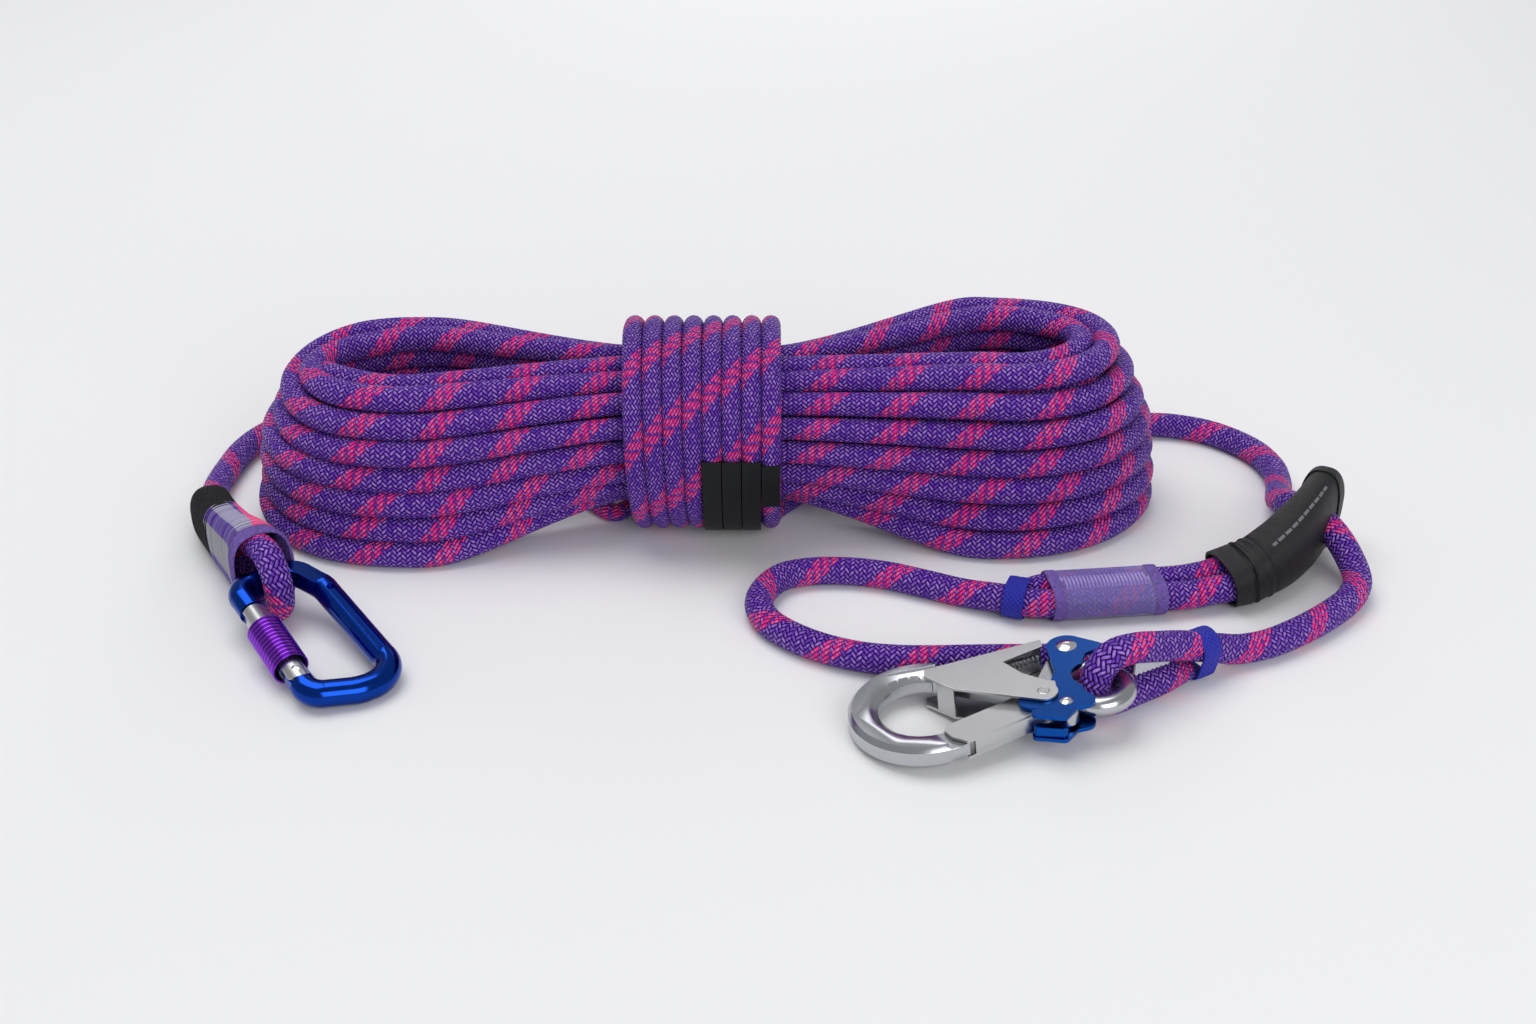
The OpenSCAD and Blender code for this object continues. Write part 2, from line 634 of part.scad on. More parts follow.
// The middle of the ring is the local origin, X runs to the shackle, Y to the lever
hook_seat = [119.7, -92.3, 15.2];
seat_angle = 35;
shackle = [59.5, 6];
seat_way = [cos(seat_angle), sin(seat_angle)];
seat_local = shackle + shackle_r * seat_way;
// Half of the short straight in the shackle's bar, on the axis that the rope turns on
seat_half = 1.2;
web_half = web_t / 2;
gate_level = web_half + face_gap;
housing_level = gate_level + channel_t + face_gap;
lever_level = housing_level + housing_t + face_gap;
hook_half = lever_level + channel_t;
// Height of the ring's middle, so that the ring just clears the ground
hook_z = hook_half + 1;
hook_pitch = asin((hook_seat.z - hook_z) / seat_local.x);
shackle_bar_r = shackle_bar_d / 2;
pivot = [41, -2];
big_rivet_at = [52.7, 25.6];
small_rivet_at = [47.9, -7.3];
// Angles of the ring's two ends
shank_angle = 75;
nose_angle = 302;
nose_at = ring_r * [cos(nose_angle), sin(nose_angle)];
hook_gate_heading = atan2(nose_at.y - pivot.y, nose_at.x - pivot.x);
hook_gate_reach = norm(nose_at - pivot);

module at_hook() {
    translate(hook_seat) rotate([0, -hook_pitch, 0])
        translate([-seat_local.x, -seat_local.y, 0]) children();
}
// Plate of the given thickness between two levels above the middle plane
module plate_at(level, t) {
    translate([0, 0, level]) linear_extrude(t) children();
}

// Middle of the web, seen from above, where its arms meet
web_middle = pivot + [2.2, 4.6];
module web_outline() {
    link([ring_r * cos(shank_angle), ring_r * sin(shank_angle), ring_w / 2 - 0.6],
        [web_middle.x, web_middle.y, 5.2]);
    link([web_middle.x, web_middle.y, 6.2], [pivot.x, pivot.y, 5]);
    link([web_middle.x, web_middle.y, 6.2], [small_rivet_at.x, small_rivet_at.y, 4.2]);
    link([web_middle.x + 1, web_middle.y + 2.5, 5.8], [big_rivet_at.x, big_rivet_at.y, 5]);
    link([web_middle.x + 1, web_middle.y + 2.5, 5.8], [shackle.x - 5, shackle.y, 9]);
}
// Section of the ring's bar, with a wide chamfer inside and a narrow one outside
inner_chamfer = [3, 2.2];
outer_chamfer = [1.6, 1.8];
module ring_section() {
    w = ring_w / 2;
    h = ring_h / 2;
    polygon([[-w, inner_chamfer.y - h], [inner_chamfer.x - w, -h], [w - outer_chamfer.x, -h],
        [w, outer_chamfer.y - h], [w, h - outer_chamfer.y], [w - outer_chamfer.x, h],
        [inner_chamfer.x - w, h], [-w, h - inner_chamfer.y]]);
}
// Oval eye of round bar, with its straights square to the way to the rope seat
module shackle_eye() {
    for (m = [-1, 1]) translate(shackle) rotate([0, 0, seat_angle])
        translate([0, m * seat_half, 0]) rotate([0, 0, 90 * m - 90])
            rotate_extrude(angle = 180, $fn = 96) translate([shackle_r, 0]) circle(shackle_bar_r);
    for (m = [-1, 1]) translate(shackle) rotate([0, 0, seat_angle])
        translate([m * shackle_r, seat_half + run_in, 0]) rotate([90, 0, 0])
            cylinder(h = 2 * (seat_half + run_in), r = shackle_bar_r - hair);
}
module shackle_hole(r) {
    translate(shackle) rotate([0, 0, seat_angle]) {
        for (m = [-1, 1]) translate([0, m * seat_half]) circle(r);
        square([2 * r, 2 * seat_half], center = true);
    }
}
flat_length = 7;
module hook_frame() {
    color(silver) at_hook() difference() {
        union() {
            rotate([0, 0, shank_angle]) rotate_extrude(angle = nose_angle - shank_angle, $fn = 96)
                translate([ring_r, 0]) ring_section();
            shackle_eye();
            translate([0, 0, -web_half]) linear_extrude(web_t) difference() {
                web_outline();
                shackle_hole(shackle_r);
            }
        }
        for (p = [[pivot, pivot_d], [big_rivet_at, big_rivet_d], [small_rivet_at, small_rivet_d]])
            translate([p[0].x, p[0].y, -web_t]) cylinder(h = 2 * web_t, d = p[1]);
        // flats where the gate's cheeks lie over the nose
        for (m = [0, 1]) mirror([0, 0, m]) translate([0, 0, web_half])
            rotate([0, 0, nose_angle - 360]) translate([0, -flat_length, 0])
                cube([40, flat_length + 1, ring_h]);
    }
}

thumb_right = small_rivet_at + [-2.2, -7.2];
thumb_left = small_rivet_at + [-10.4, -5.1];
housing_waist = [50.5, 10, 4.2];
module housing_outline() {
    difference() {
        union() {
            link([big_rivet_at.x, big_rivet_at.y - 0.8, 7.2], housing_waist);
            link([big_rivet_at.x, big_rivet_at.y - 0.8, 7.2],
                [big_rivet_at.x + 10, big_rivet_at.y - 1.4, 2.2]);
            link(housing_waist, [small_rivet_at.x, small_rivet_at.y + 2, 7]);
            link([small_rivet_at.x, small_rivet_at.y + 2, 7],
                [small_rivet_at.x + 5.6, small_rivet_at.y + 0.2, 4.2]);
            link([small_rivet_at.x, small_rivet_at.y + 2, 7],
                [pivot.x - 4.6, pivot.y - 3.4, 4.4]);
            link([small_rivet_at.x, small_rivet_at.y + 1, 6],
                [thumb_right.x, thumb_right.y, 2.4]);
            link([thumb_right.x, thumb_right.y, 2.4], [thumb_left.x, thumb_left.y, 2]);
        }
        shackle_hole(shackle_r - shackle_bar_r + 0.6);
    }
}
module housing_plate() {
    difference() {
        plate_at(housing_level, housing_t) housing_outline();
        for (p = [[pivot, pivot_d], [big_rivet_at, big_rivet_d], [small_rivet_at, small_rivet_d]])
            translate([p[0].x, p[0].y, 0]) cylinder(h = 3 * web_t, d = p[1]);
    }
}
module housing_top_plate() {
    color(blue) at_hook() housing_plate();
}
module housing_bottom_plate() {
    color(blue) at_hook() mirror([0, 0, 1]) housing_plate();
}
// Blue bar on the lower housing plate, under the thumb
module thumb_bridge() {
    color(blue) at_hook() translate([0, 0, -housing_level]) linear_extrude(housing_level)
        link([thumb_right.x, thumb_right.y, 1.5], [thumb_left.x, thumb_left.y, 1.4]);
}

// Rivet with a domed head at each end, outside the given level
module rivet(p, d, level, head_d, head_h) {
    translate([p.x, p.y, -level]) cylinder(h = 2 * level, d = d);
    for (m = [0, 1]) mirror([0, 0, m]) translate([p.x, p.y, level])
        rotate_extrude() intersection() {
            translate([0, head_h - head_d * 0.8]) circle(head_d * 0.8);
            square([head_d / 2, head_h]);
        }
}
housing_face = housing_level + housing_t;
module big_rivet() {
    color("#d0d2d4") at_hook() rivet(big_rivet_at, big_rivet_d, housing_face, 8.4, 1.1);
}
module small_rivet() {
    color("#d0d2d4") at_hook() rivet(small_rivet_at, small_rivet_d, housing_face, 5, 0.7);
}
module pivot_pin() {
    color("#d0d2d4") at_hook() translate([pivot.x, pivot.y, -hook_half])
        cylinder(h = 2 * hook_half, d = pivot_d);
}

// Gate frame: the pivot is the origin and X runs along the gate to the nose
module at_hook_gate() {
    at_hook() translate([pivot.x, pivot.y, 0]) rotate([0, 0, hook_gate_heading]) children();
}
gate_outer = 5.6;
gate_inner = 6;
module gate_outline() {
    polygon([[0, 0.99 - gate_outer], [8, -gate_inner], [hook_gate_reach + 1.6, -gate_inner],
        [hook_gate_reach + 3.6, -gate_inner + 1.8], [hook_gate_reach + 3.4, 0.5],
        [hook_gate_reach + 0.4, gate_outer], [1, gate_outer - 0.05]]);
    circle(gate_outer);
}
module hook_gate() {
    color(silver) at_hook_gate() difference() {
        union() {
            for (m = [0, 1]) mirror([0, 0, m]) plate_at(gate_level, channel_t) gate_outline();
            translate([4, gate_outer - channel_t, -gate_level])
                cube([hook_gate_reach - 6.4, channel_t, 2 * gate_level]);
        }
        translate([0, 0, -web_t * 2]) cylinder(h = web_t * 4, d = pivot_d + 2 * pin_gap);
    }
}

lever_tip = [1.8, 16.9];
lever_nook = [10.9, 4];
lever_heel = [44, 29];
lever_arm_r = 5;
module lever_outline() {
    difference() {
        union() {
            polygon([lever_tip, lever_tip - [0.2, 4.1], lever_nook,
                pivot + 0.99 * lever_arm_r * [cos(250), sin(250)],
                pivot + 0.99 * lever_arm_r * [cos(20), sin(20)],
                pivot + [4.6, 8], lever_heel]);
            translate(pivot) circle(lever_arm_r);
        }
        // notch that shows the spring
        polygon([pivot + [-11.5, 19.4], pivot + [-6, 11.6], pivot + [1.5, 6.2],
            pivot + [9, 3.4], pivot + [9, 29.6]]);
    }
}
back_heading = atan2(lever_heel.y - lever_tip.y, lever_heel.x - lever_tip.x);
tip_heading = atan2(lever_tip.y - 4.1 - lever_nook.y, lever_tip.x - 0.2 - lever_nook.x);
// The back wall starts where it clears the shank when the lever is pressed
back_from = 23;
back_length = norm(lever_heel - lever_tip) - back_from - 0.3;
module lock_lever() {
    color(silver) at_hook() difference() {
        union() {
            for (m = [0, 1]) mirror([0, 0, m]) plate_at(lever_level, channel_t) lever_outline();
            // the channel's back wall, and the short wall at its tip
            translate([lever_tip.x, lever_tip.y, -lever_level]) rotate([0, 0, back_heading])
                translate([back_from, -channel_t, 0])
                    cube([back_length, channel_t, 2 * lever_level]);
            translate([lever_nook.x, lever_nook.y, -lever_level]) rotate([0, 0, tip_heading])
                translate([0, -channel_t, 0]) cube([7.5, channel_t, 2 * lever_level]);
        }
        translate([pivot.x, pivot.y, -hook_half - 1])
            cylinder(h = 2 * hook_half + 2, d = pivot_d + 2 * pin_gap);
    }
}
anchor = pivot + [-11, 22];
anchor_r = 1;
spring_level = 2.4;
spring_from = anchor + [1.2, 0.2];
spring_to = pivot + [2.4, 25.2];
spring_heading = atan2(spring_to.y - spring_from.y, spring_to.x - spring_from.x);
spring_length = norm(spring_to - spring_from);
module lever_spring() {
    color("#8f9296") at_hook() translate([spring_from.x, spring_from.y, spring_level])
        rotate([0, 0, spring_heading])
            coil_spring(spring_length, lever_spring_d, spring_wire_d, 7);
}
// Cross pin between the lever's plates, which the spring pulls on
module spring_anchor() {
    color("#a8aaad") at_hook() translate([anchor.x, anchor.y, -lever_level])
        cylinder(h = 2 * lever_level, r = anchor_r);
}

// The part stands centred on the origin
centring = [3.9, -0.5, 0];
translate(centring) {
    hank();
    waist_wrap();
    long_tape_bands();
    short_tape_band();
    left_tail();
    left_collar();
    left_stitching();
    left_shrink_tube();
    right_tail();
    hook_whipping();
    hook_eye_tag();
    lanyard_rope();
    block_whipping();
    block_stitching();
    block_shrink_tube();
    eye_sleeve();
    sleeve_mouth_cuff();
    sleeve_tip_cuff();
    carabiner_frame();
    carabiner_gate();
    gate_rivet();
    gate_spring();
    gate_plunger();
    screw_sleeve();
    hook_frame();
    housing_top_plate();
    housing_bottom_plate();
    thumb_bridge();
    big_rivet();
    small_rivet();
    pivot_pin();
    hook_gate();
    lock_lever();
    lever_spring();
    spring_anchor();
}
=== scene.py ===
import json
import math

import bmesh
import bpy
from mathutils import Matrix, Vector

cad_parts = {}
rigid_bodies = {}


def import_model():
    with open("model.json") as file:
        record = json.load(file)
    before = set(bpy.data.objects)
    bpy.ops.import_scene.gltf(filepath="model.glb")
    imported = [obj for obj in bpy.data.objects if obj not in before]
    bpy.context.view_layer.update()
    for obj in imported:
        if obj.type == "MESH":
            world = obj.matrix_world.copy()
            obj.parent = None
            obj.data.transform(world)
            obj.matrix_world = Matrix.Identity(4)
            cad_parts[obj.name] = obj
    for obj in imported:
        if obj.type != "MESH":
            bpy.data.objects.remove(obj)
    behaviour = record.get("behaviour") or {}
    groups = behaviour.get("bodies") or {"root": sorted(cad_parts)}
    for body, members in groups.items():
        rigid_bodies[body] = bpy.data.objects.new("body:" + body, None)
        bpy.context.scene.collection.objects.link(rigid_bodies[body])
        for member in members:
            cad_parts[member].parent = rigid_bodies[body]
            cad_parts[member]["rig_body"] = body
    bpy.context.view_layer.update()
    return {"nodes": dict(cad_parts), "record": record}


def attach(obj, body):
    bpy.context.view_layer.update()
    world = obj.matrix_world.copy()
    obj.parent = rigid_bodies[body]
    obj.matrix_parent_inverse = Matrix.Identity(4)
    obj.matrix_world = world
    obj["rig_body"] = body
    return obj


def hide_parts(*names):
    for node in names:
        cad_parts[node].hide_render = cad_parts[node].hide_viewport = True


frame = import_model()
cadNodes = frame["nodes"]
scene = bpy.context.scene
print("frame loaded")

view = {
    "place": (0.0029, -0.6005, 0.3616),
    "pitch": 29.0,  # degrees below the horizon
    "lens": 41.34,
}
cameraData = bpy.data.cameras.new("tableCamera")
cameraData.lens = view["lens"]
cameraData.sensor_width = 36
cameraData.clip_start = 0.01
camera = bpy.data.objects.new("tableCamera", cameraData)
camera.location = view["place"]
camera.rotation_euler = (math.radians(90 - view["pitch"]), 0, 0)
scene.collection.objects.link(camera)
scene.camera = camera
scene.view_settings.view_transform = "Standard"


def calc(tree, operation, *values):
    node = tree.nodes.new("ShaderNodeMath")
    node.operation = operation
    for index, value in enumerate(values):
        if isinstance(value, (int, float)):
            node.inputs[index].default_value = value
        else:
            tree.links.new(value, node.inputs[index])
    return node.outputs[0]


def blendColour(tree, amount, first, second):
    # sockets 6 and 7 are the node's two colours, output 2 is their mix
    node = tree.nodes.new("ShaderNodeMix")
    node.data_type = "RGBA"
    for index, value in ((0, amount), (6, first), (7, second)):
        if isinstance(value, (int, float)):
            node.inputs[index].default_value = value
        elif isinstance(value, tuple):
            node.inputs[index].default_value = (*value, 1)
        else:
            tree.links.new(value, node.inputs[index])
    return node.outputs[2]


def ramp(tree, amount, low, high, start=0.0, end=1.0):
    node = tree.nodes.new("ShaderNodeMapRange")
    node.inputs["From Min"].default_value = low
    node.inputs["From Max"].default_value = high
    node.inputs["To Min"].default_value = start
    node.inputs["To Max"].default_value = end
    tree.links.new(amount, node.inputs["Value"])
    return node.outputs[0]


def noise(tree, place, scale, detail=2.0, rough=0.5):
    node = tree.nodes.new("ShaderNodeTexNoise")
    node.inputs["Scale"].default_value = scale
    node.inputs["Detail"].default_value = detail
    node.inputs["Roughness"].default_value = rough
    tree.links.new(place, node.inputs["Vector"])
    return node.outputs["Fac"]


def relief(tree, shader, height, depth):
    node = tree.nodes.new("ShaderNodeBump")
    node.inputs["Distance"].default_value = depth
    node.inputs["Strength"].default_value = 1.0
    tree.links.new(height, node.inputs["Height"])
    tree.links.new(node.outputs[0], shader.inputs["Normal"])


def newFinish(name, **sockets):
    material = bpy.data.materials.new(name)
    material.use_nodes = True
    shader = material.node_tree.nodes["Principled BSDF"]
    for socket, value in sockets.items():
        shader.inputs[socket.replace("_", " ")].default_value = value
    return material, material.node_tree, shader


def objectPlace(tree):
    return tree.nodes.new("ShaderNodeTexCoord").outputs["Object"]


def surfacePlace(tree):
    # way round the piece and way along it
    uv = tree.nodes.new("ShaderNodeUVMap")
    uv.uv_map = "surfaceUv"
    split = tree.nodes.new("ShaderNodeSeparateXYZ")
    tree.links.new(uv.outputs[0], split.inputs[0])
    return split.outputs[0], split.outputs[1]


studio = {
    "floorReach": 6,
    "floorColour": (0.88, 0.88, 0.89),
    "worldColour": (0.93, 0.94, 0.96),
    "worldStrength": 0.39,
    "lamps": [  # name, place, aim, size, watts
        ("topSoftbox", (-0.6, 0.5, 2.6), (0.0, 0.02, 0.0), 2.1, 38),
        ("frontSoftbox", (0.8, -1.75, 0.95), (0.0, 0.0, 0.02), 1.4, 19),
        ("rimStrip", (0.2, 1.6, 0.7), (0.0, 0.05, 0.03), 0.6, 2.9),
    ],
}


def makeStudio(look):
    bm = bmesh.new()
    bmesh.ops.create_grid(bm, x_segments=2, y_segments=2, size=look["floorReach"])
    mesh = bpy.data.meshes.new("floor")
    bm.to_mesh(mesh)
    bm.free()
    floor = bpy.data.objects.new("floor", mesh)
    scene.collection.objects.link(floor)
    finish, tree, shader = newFinish("floorPaper", Roughness=0.9)
    shader.inputs["Base Color"].default_value = (*look["floorColour"], 1)
    shader.inputs["Specular IOR Level"].default_value = 0.1
    mesh.materials.append(finish)
    world = bpy.data.worlds.new("studioRoom")
    world.use_nodes = True
    back = world.node_tree.nodes["Background"]
    back.inputs[0].default_value = (*look["worldColour"], 1)
    back.inputs[1].default_value = look["worldStrength"]
    scene.world = world
    for name, place, aim, size, watts in look["lamps"]:
        lamp = bpy.data.lights.new(name, "AREA")
        lamp.shape = "SQUARE"
        lamp.size = size
        lamp.energy = watts
        holder = bpy.data.objects.new(name, lamp)
        holder.location = place
        holder.rotation_euler = (Vector(aim) - Vector(place)).to_track_quat("-Z", "Y").to_euler()
        scene.collection.objects.link(holder)


makeStudio(studio)
print("studio ready")

braid = {
    "carriers": 16,
    "repeat": 4,  # crossings until over and under come round again
    "lay": 0.03035,  # metres along the rope for one turn of a yarn
    # gap: painted shade, the colour shown low between the yarns
    "gap": (0.002, 0.0005, 0.011),
    "yarn": (0.165, 0.040, 0.60),
    # painted highlight colours, laid on the crowns of some yarns and of the tracer
    "paintedGlintColour": (0.60, 0.33, 1.0),
    "tracer": (1.0, 0.04, 0.40),
    "tracerPaintedGlintColour": (1.0, 0.28, 0.66),
    # painted shade between the tracer's yarns
    "tracerGapShade": (0.45, 0.006, 0.18),
    "tracerYarns": 5,
    "crownPower": 2.0,
    "archPower": 0.5,
    # heights on a yarn over which the painted highlight comes in
    "paintedGlintHeights": (0.46, 0.86),
    # heights on a yarn below which painted shade darkens it towards the gap colour
    "shadeHeights": (0.20, 0.60),
    "depth": 0.0013,
}


def braidFinish(name, look):
    material, tree, shader = newFinish(name, Roughness=0.4)
    shader.inputs["Specular IOR Level"].default_value = 0.14
    around, along = surfacePlace(tree)
    count, repeat = look["carriers"], look["repeat"]
    # a and b run across the two families of yarns, i and j number the yarns
    lay = calc(tree, "DIVIDE", along, look["lay"])
    a = calc(tree, "MULTIPLY", calc(tree, "ADD", around, lay), count)
    b = calc(tree, "MULTIPLY", calc(tree, "SUBTRACT", around, lay), count)
    i = calc(tree, "FLOOR", a)
    j = calc(tree, "FLOOR", b)
    order = calc(tree, "FLOORED_MODULO", calc(tree, "SUBTRACT", i, j), repeat)
    tracerLane = calc(tree, "LESS_THAN", calc(tree, "FLOORED_MODULO", i, count),
                      look["tracerYarns"] - 0.5)
    # 1 where the first family of yarns lies on top; the tracer's floats are longer
    top = calc(tree, "LESS_THAN", order, calc(tree, "ADD", tracerLane, 1.5))
    floatA = calc(tree, "FLOORED_MODULO", calc(tree, "ADD", calc(tree, "SUBTRACT", b, i), 1),
                  repeat)
    # a tracer float of three crossings shows as two beads
    beadA = calc(tree, "FRACT", calc(tree, "DIVIDE", floatA, 1.5))
    alongA = calc(tree, "ADD", calc(tree, "MULTIPLY", beadA, tracerLane),
                  calc(tree, "MULTIPLY", calc(tree, "DIVIDE", floatA, 2),
                       calc(tree, "SUBTRACT", 1, tracerLane)))
    alongB = calc(tree, "DIVIDE", calc(tree, "FLOORED_MODULO",
                  calc(tree, "SUBTRACT", calc(tree, "SUBTRACT", a, j), 2), repeat), 2)
    acrossA = calc(tree, "SUBTRACT", calc(tree, "FRACT", a), 0.5)
    acrossB = calc(tree, "SUBTRACT", calc(tree, "FRACT", b), 0.5)

    def pick(first, second):
        return calc(tree, "ADD", calc(tree, "MULTIPLY", first, top),
                    calc(tree, "MULTIPLY", second, calc(tree, "SUBTRACT", 1, top)))

    run = pick(alongA, alongB)
    cross = pick(acrossA, acrossB)
    crown = calc(tree, "SUBTRACT", 1, calc(tree, "POWER", calc(tree, "ABSOLUTE",
                 calc(tree, "MULTIPLY", cross, 2)), look["crownPower"]))
    arch = calc(tree, "POWER", calc(tree, "MAXIMUM", calc(tree, "SINE",
                calc(tree, "MULTIPLY", run, math.pi)), 0.0), look["archPower"])
    height = calc(tree, "MULTIPLY", crown, calc(tree, "MULTIPLY_ADD", arch, 0.75, 0.25))
    strands = calc(tree, "MULTIPLY_ADD", calc(tree, "COSINE",
                   calc(tree, "MULTIPLY", cross, 6 * math.pi)), 0.06, 0)
    # one steady random number for each crossing
    cell = tree.nodes.new("ShaderNodeCombineXYZ")
    for socket, number in zip(cell.inputs, (i, j)):
        tree.links.new(calc(tree, "FLOORED_MODULO", number, 64), socket)
    speckle = tree.nodes.new("ShaderNodeTexWhiteNoise")
    speckle.noise_dimensions = "2D"
    tree.links.new(cell.outputs[0], speckle.inputs["Vector"])
    isTracer = calc(tree, "MULTIPLY", top, tracerLane)
    fuzz = noise(tree, objectPlace(tree), 900, 3)
    # painted highlights: a glint colour on the high middles of yarns, at random crossings
    paintedGlintShare = calc(tree, "MULTIPLY", ramp(tree, height, *look["paintedGlintHeights"]),
               calc(tree, "POWER", speckle.outputs["Value"], 1.2))
    body = blendColour(tree, isTracer, look["yarn"], look["tracer"])
    paintedGlint = blendColour(tree, isTracer, look["paintedGlintColour"], look["tracerPaintedGlintColour"])
    lifted = blendColour(tree, calc(tree, "MULTIPLY", paintedGlintShare, 0.9), body, paintedGlint)
    # painted shade: each yarn darkens towards the gap colour at its low edges and ends
    shade = calc(tree, "MULTIPLY", ramp(tree, height, *look["shadeHeights"]),
                 calc(tree, "MULTIPLY_ADD", fuzz, 0.35, 0.80))
    gapShade = blendColour(tree, isTracer, look["gap"], look["tracerGapShade"])
    colour = blendColour(tree, shade, gapShade, lifted)
    tree.links.new(colour, shader.inputs["Base Color"])
    relief(tree, shader, calc(tree, "ADD", height, strands), look["depth"])
    return material


def weaveFinish(name, look):
    # plain over-and-under weave, darkened with painted shade where the threads dip
    material, tree, shader = newFinish(name, Roughness=0.7)
    around, along = surfacePlace(tree)
    waves = 2 * math.pi / look["pitch"]
    warp = calc(tree, "SINE", calc(tree, "MULTIPLY", around, waves))
    weft = calc(tree, "SINE", calc(tree, "MULTIPLY", along, waves))
    height = calc(tree, "MULTIPLY_ADD", calc(tree, "MULTIPLY", warp, weft), 0.5, 0.5)
    fibre = noise(tree, objectPlace(tree), 1400, 2)
    # painted shade: where the weave dips the colour goes towards the shade colour, varied by
    # random fibre tone
    tone = calc(tree, "MULTIPLY", calc(tree, "MULTIPLY_ADD", height, 0.6, 0.4),
                calc(tree, "MULTIPLY_ADD", fibre, 0.7, 0.6))
    tree.links.new(blendColour(tree, tone, look["recessShade"], look["colour"]),
                   shader.inputs["Base Color"])
    relief(tree, shader, calc(tree, "MULTIPLY_ADD", fibre, 0.3, height), look["depth"])
    return material


def feltFinish(name, colour, scale):
    material, tree, shader = newFinish(name, Roughness=0.95)
    shader.inputs["Specular IOR Level"].default_value = 0.2
    fluff = noise(tree, objectPlace(tree), scale, 6, 0.7)
    tone = ramp(tree, fluff, 0.35, 0.7)
    lighter = tuple(min(1, c * 2.4 + 0.004) for c in colour)
    tree.links.new(blendColour(tree, tone, colour, lighter), shader.inputs["Base Color"])
    relief(tree, shader, fluff, 0.0006)
    return material


def metalFinish(name, colour, rough):
    # smooth metal with a slightly rubbed tone
    material, tree, shader = newFinish(name, Metallic=1.0)
    place = objectPlace(tree)
    smudge = noise(tree, place, 60, 4, 0.6)
    fine = noise(tree, place, 2600, 2)
    toned = tree.nodes.new("ShaderNodeVectorMath")
    toned.operation = "SCALE"
    toned.inputs[0].default_value = colour
    tree.links.new(calc(tree, "MULTIPLY_ADD", smudge, 0.08, 0.96), toned.inputs["Scale"])
    tree.links.new(toned.outputs[0], shader.inputs["Base Color"])
    tree.links.new(calc(tree, "MULTIPLY_ADD", calc(tree, "MULTIPLY", smudge, fine),
                        0.06, rough - 0.03), shader.inputs["Roughness"])
    return material


def plasticFinish(name, colour, rough, mottling, scale, gloss=0.5):
    material, tree, shader = newFinish(name)
    shader.inputs["Specular IOR Level"].default_value = gloss
    spots = noise(tree, objectPlace(tree), scale, 3)
    darker = tuple(c * (1 - mottling) for c in colour)
    lighter = tuple(min(1, c * (1 + mottling)) for c in colour)
    tree.links.new(blendColour(tree, spots, darker, lighter), shader.inputs["Base Color"])
    tree.links.new(calc(tree, "MULTIPLY_ADD", spots, 0.15, rough - 0.07),
                   shader.inputs["Roughness"])
    relief(tree, shader, spots, 0.0001)
    return material


def shrinkFinish(name, tint, clear=1.0, bend=1.07):
    # thin clear plastic sleeve
    material, tree, shader = newFinish(name, Roughness=0.08)
    shader.inputs["Transmission Weight"].default_value = clear
    shader.inputs["IOR"].default_value = bend
    spots = noise(tree, objectPlace(tree), 220, 2)
    tree.links.new(blendColour(tree, spots, tint, tuple(min(1, c + 0.06) for c in tint)),
                   shader.inputs["Base Color"])
    relief(tree, shader, spots, 0.0002)
    return material


grooveShadeSpan = (-0.9, 0.1)  # part of a rib's wave over which its groove is painted dark as shade


def ribbedFinish(name, look):
    # fine cross ribs in lengthwise stripes of colour, with painted shade in the grooves
    material, tree, shader = newFinish(name, Roughness=0.32)
    shader.inputs["Specular IOR Level"].default_value = 0.25
    around, along = surfacePlace(tree)
    wave = calc(tree, "COSINE", calc(tree, "MULTIPLY", along, 2 * math.pi / look["pitch"]))
    share = calc(tree, "DIVIDE", around, look["girth"])
    thread = look["ground"]
    for start, end, spread, colour in look["stripes"]:
        widen = calc(tree, "MULTIPLY", along, spread)
        inside = calc(tree, "MULTIPLY",
                      calc(tree, "GREATER_THAN", share, calc(tree, "SUBTRACT", start, widen)),
                      calc(tree, "LESS_THAN", share, calc(tree, "ADD", end, widen)))
        thread = blendColour(tree, inside, thread, colour)
    speckle = tree.nodes.new("ShaderNodeTexWhiteNoise")
    speckle.noise_dimensions = "1D"
    tree.links.new(calc(tree, "FLOOR", calc(tree, "DIVIDE", along, look["pitch"])),
                   speckle.inputs["W"])
    bright = ramp(tree, speckle.outputs["Value"], 0.0, 1.0, 0.0, 0.16)
    lifted = blendColour(tree, bright, thread, look["pale"])
    # painted shade: each groove darkens towards the shade colour
    tone = ramp(tree, wave, *grooveShadeSpan)
    tree.links.new(blendColour(tree, tone, look["recessShade"], lifted), shader.inputs["Base Color"])
    return material


def ringedMetal(name, colour, recessShade, pitch, rough):
    # anodised rings, with painted shade darkening the grooves between them
    material, tree, shader = newFinish(name, Metallic=1.0, Roughness=rough)
    around, along = surfacePlace(tree)
    wave = calc(tree, "COSINE", calc(tree, "MULTIPLY", along, 2 * math.pi / pitch))
    tree.links.new(blendColour(tree, ramp(tree, wave, *grooveShadeSpan), recessShade, colour),
                   shader.inputs["Base Color"])
    return material


sleeveLook = {
    "ribPitch": 0.0008,
    "tracerAround": 0.0235, "tracerHalf": 0.0008,  # metres round the sleeve
    "tracerSpan": (0.019, 0.053), "dashPitch": 0.0036, "dashShare": 0.80,
    "black": (0.005, 0.005, 0.006), "rubbed": (0.017, 0.017, 0.019),
    "tracer": (0.19, 0.19, 0.20),
    "depth": 0.0011,
}


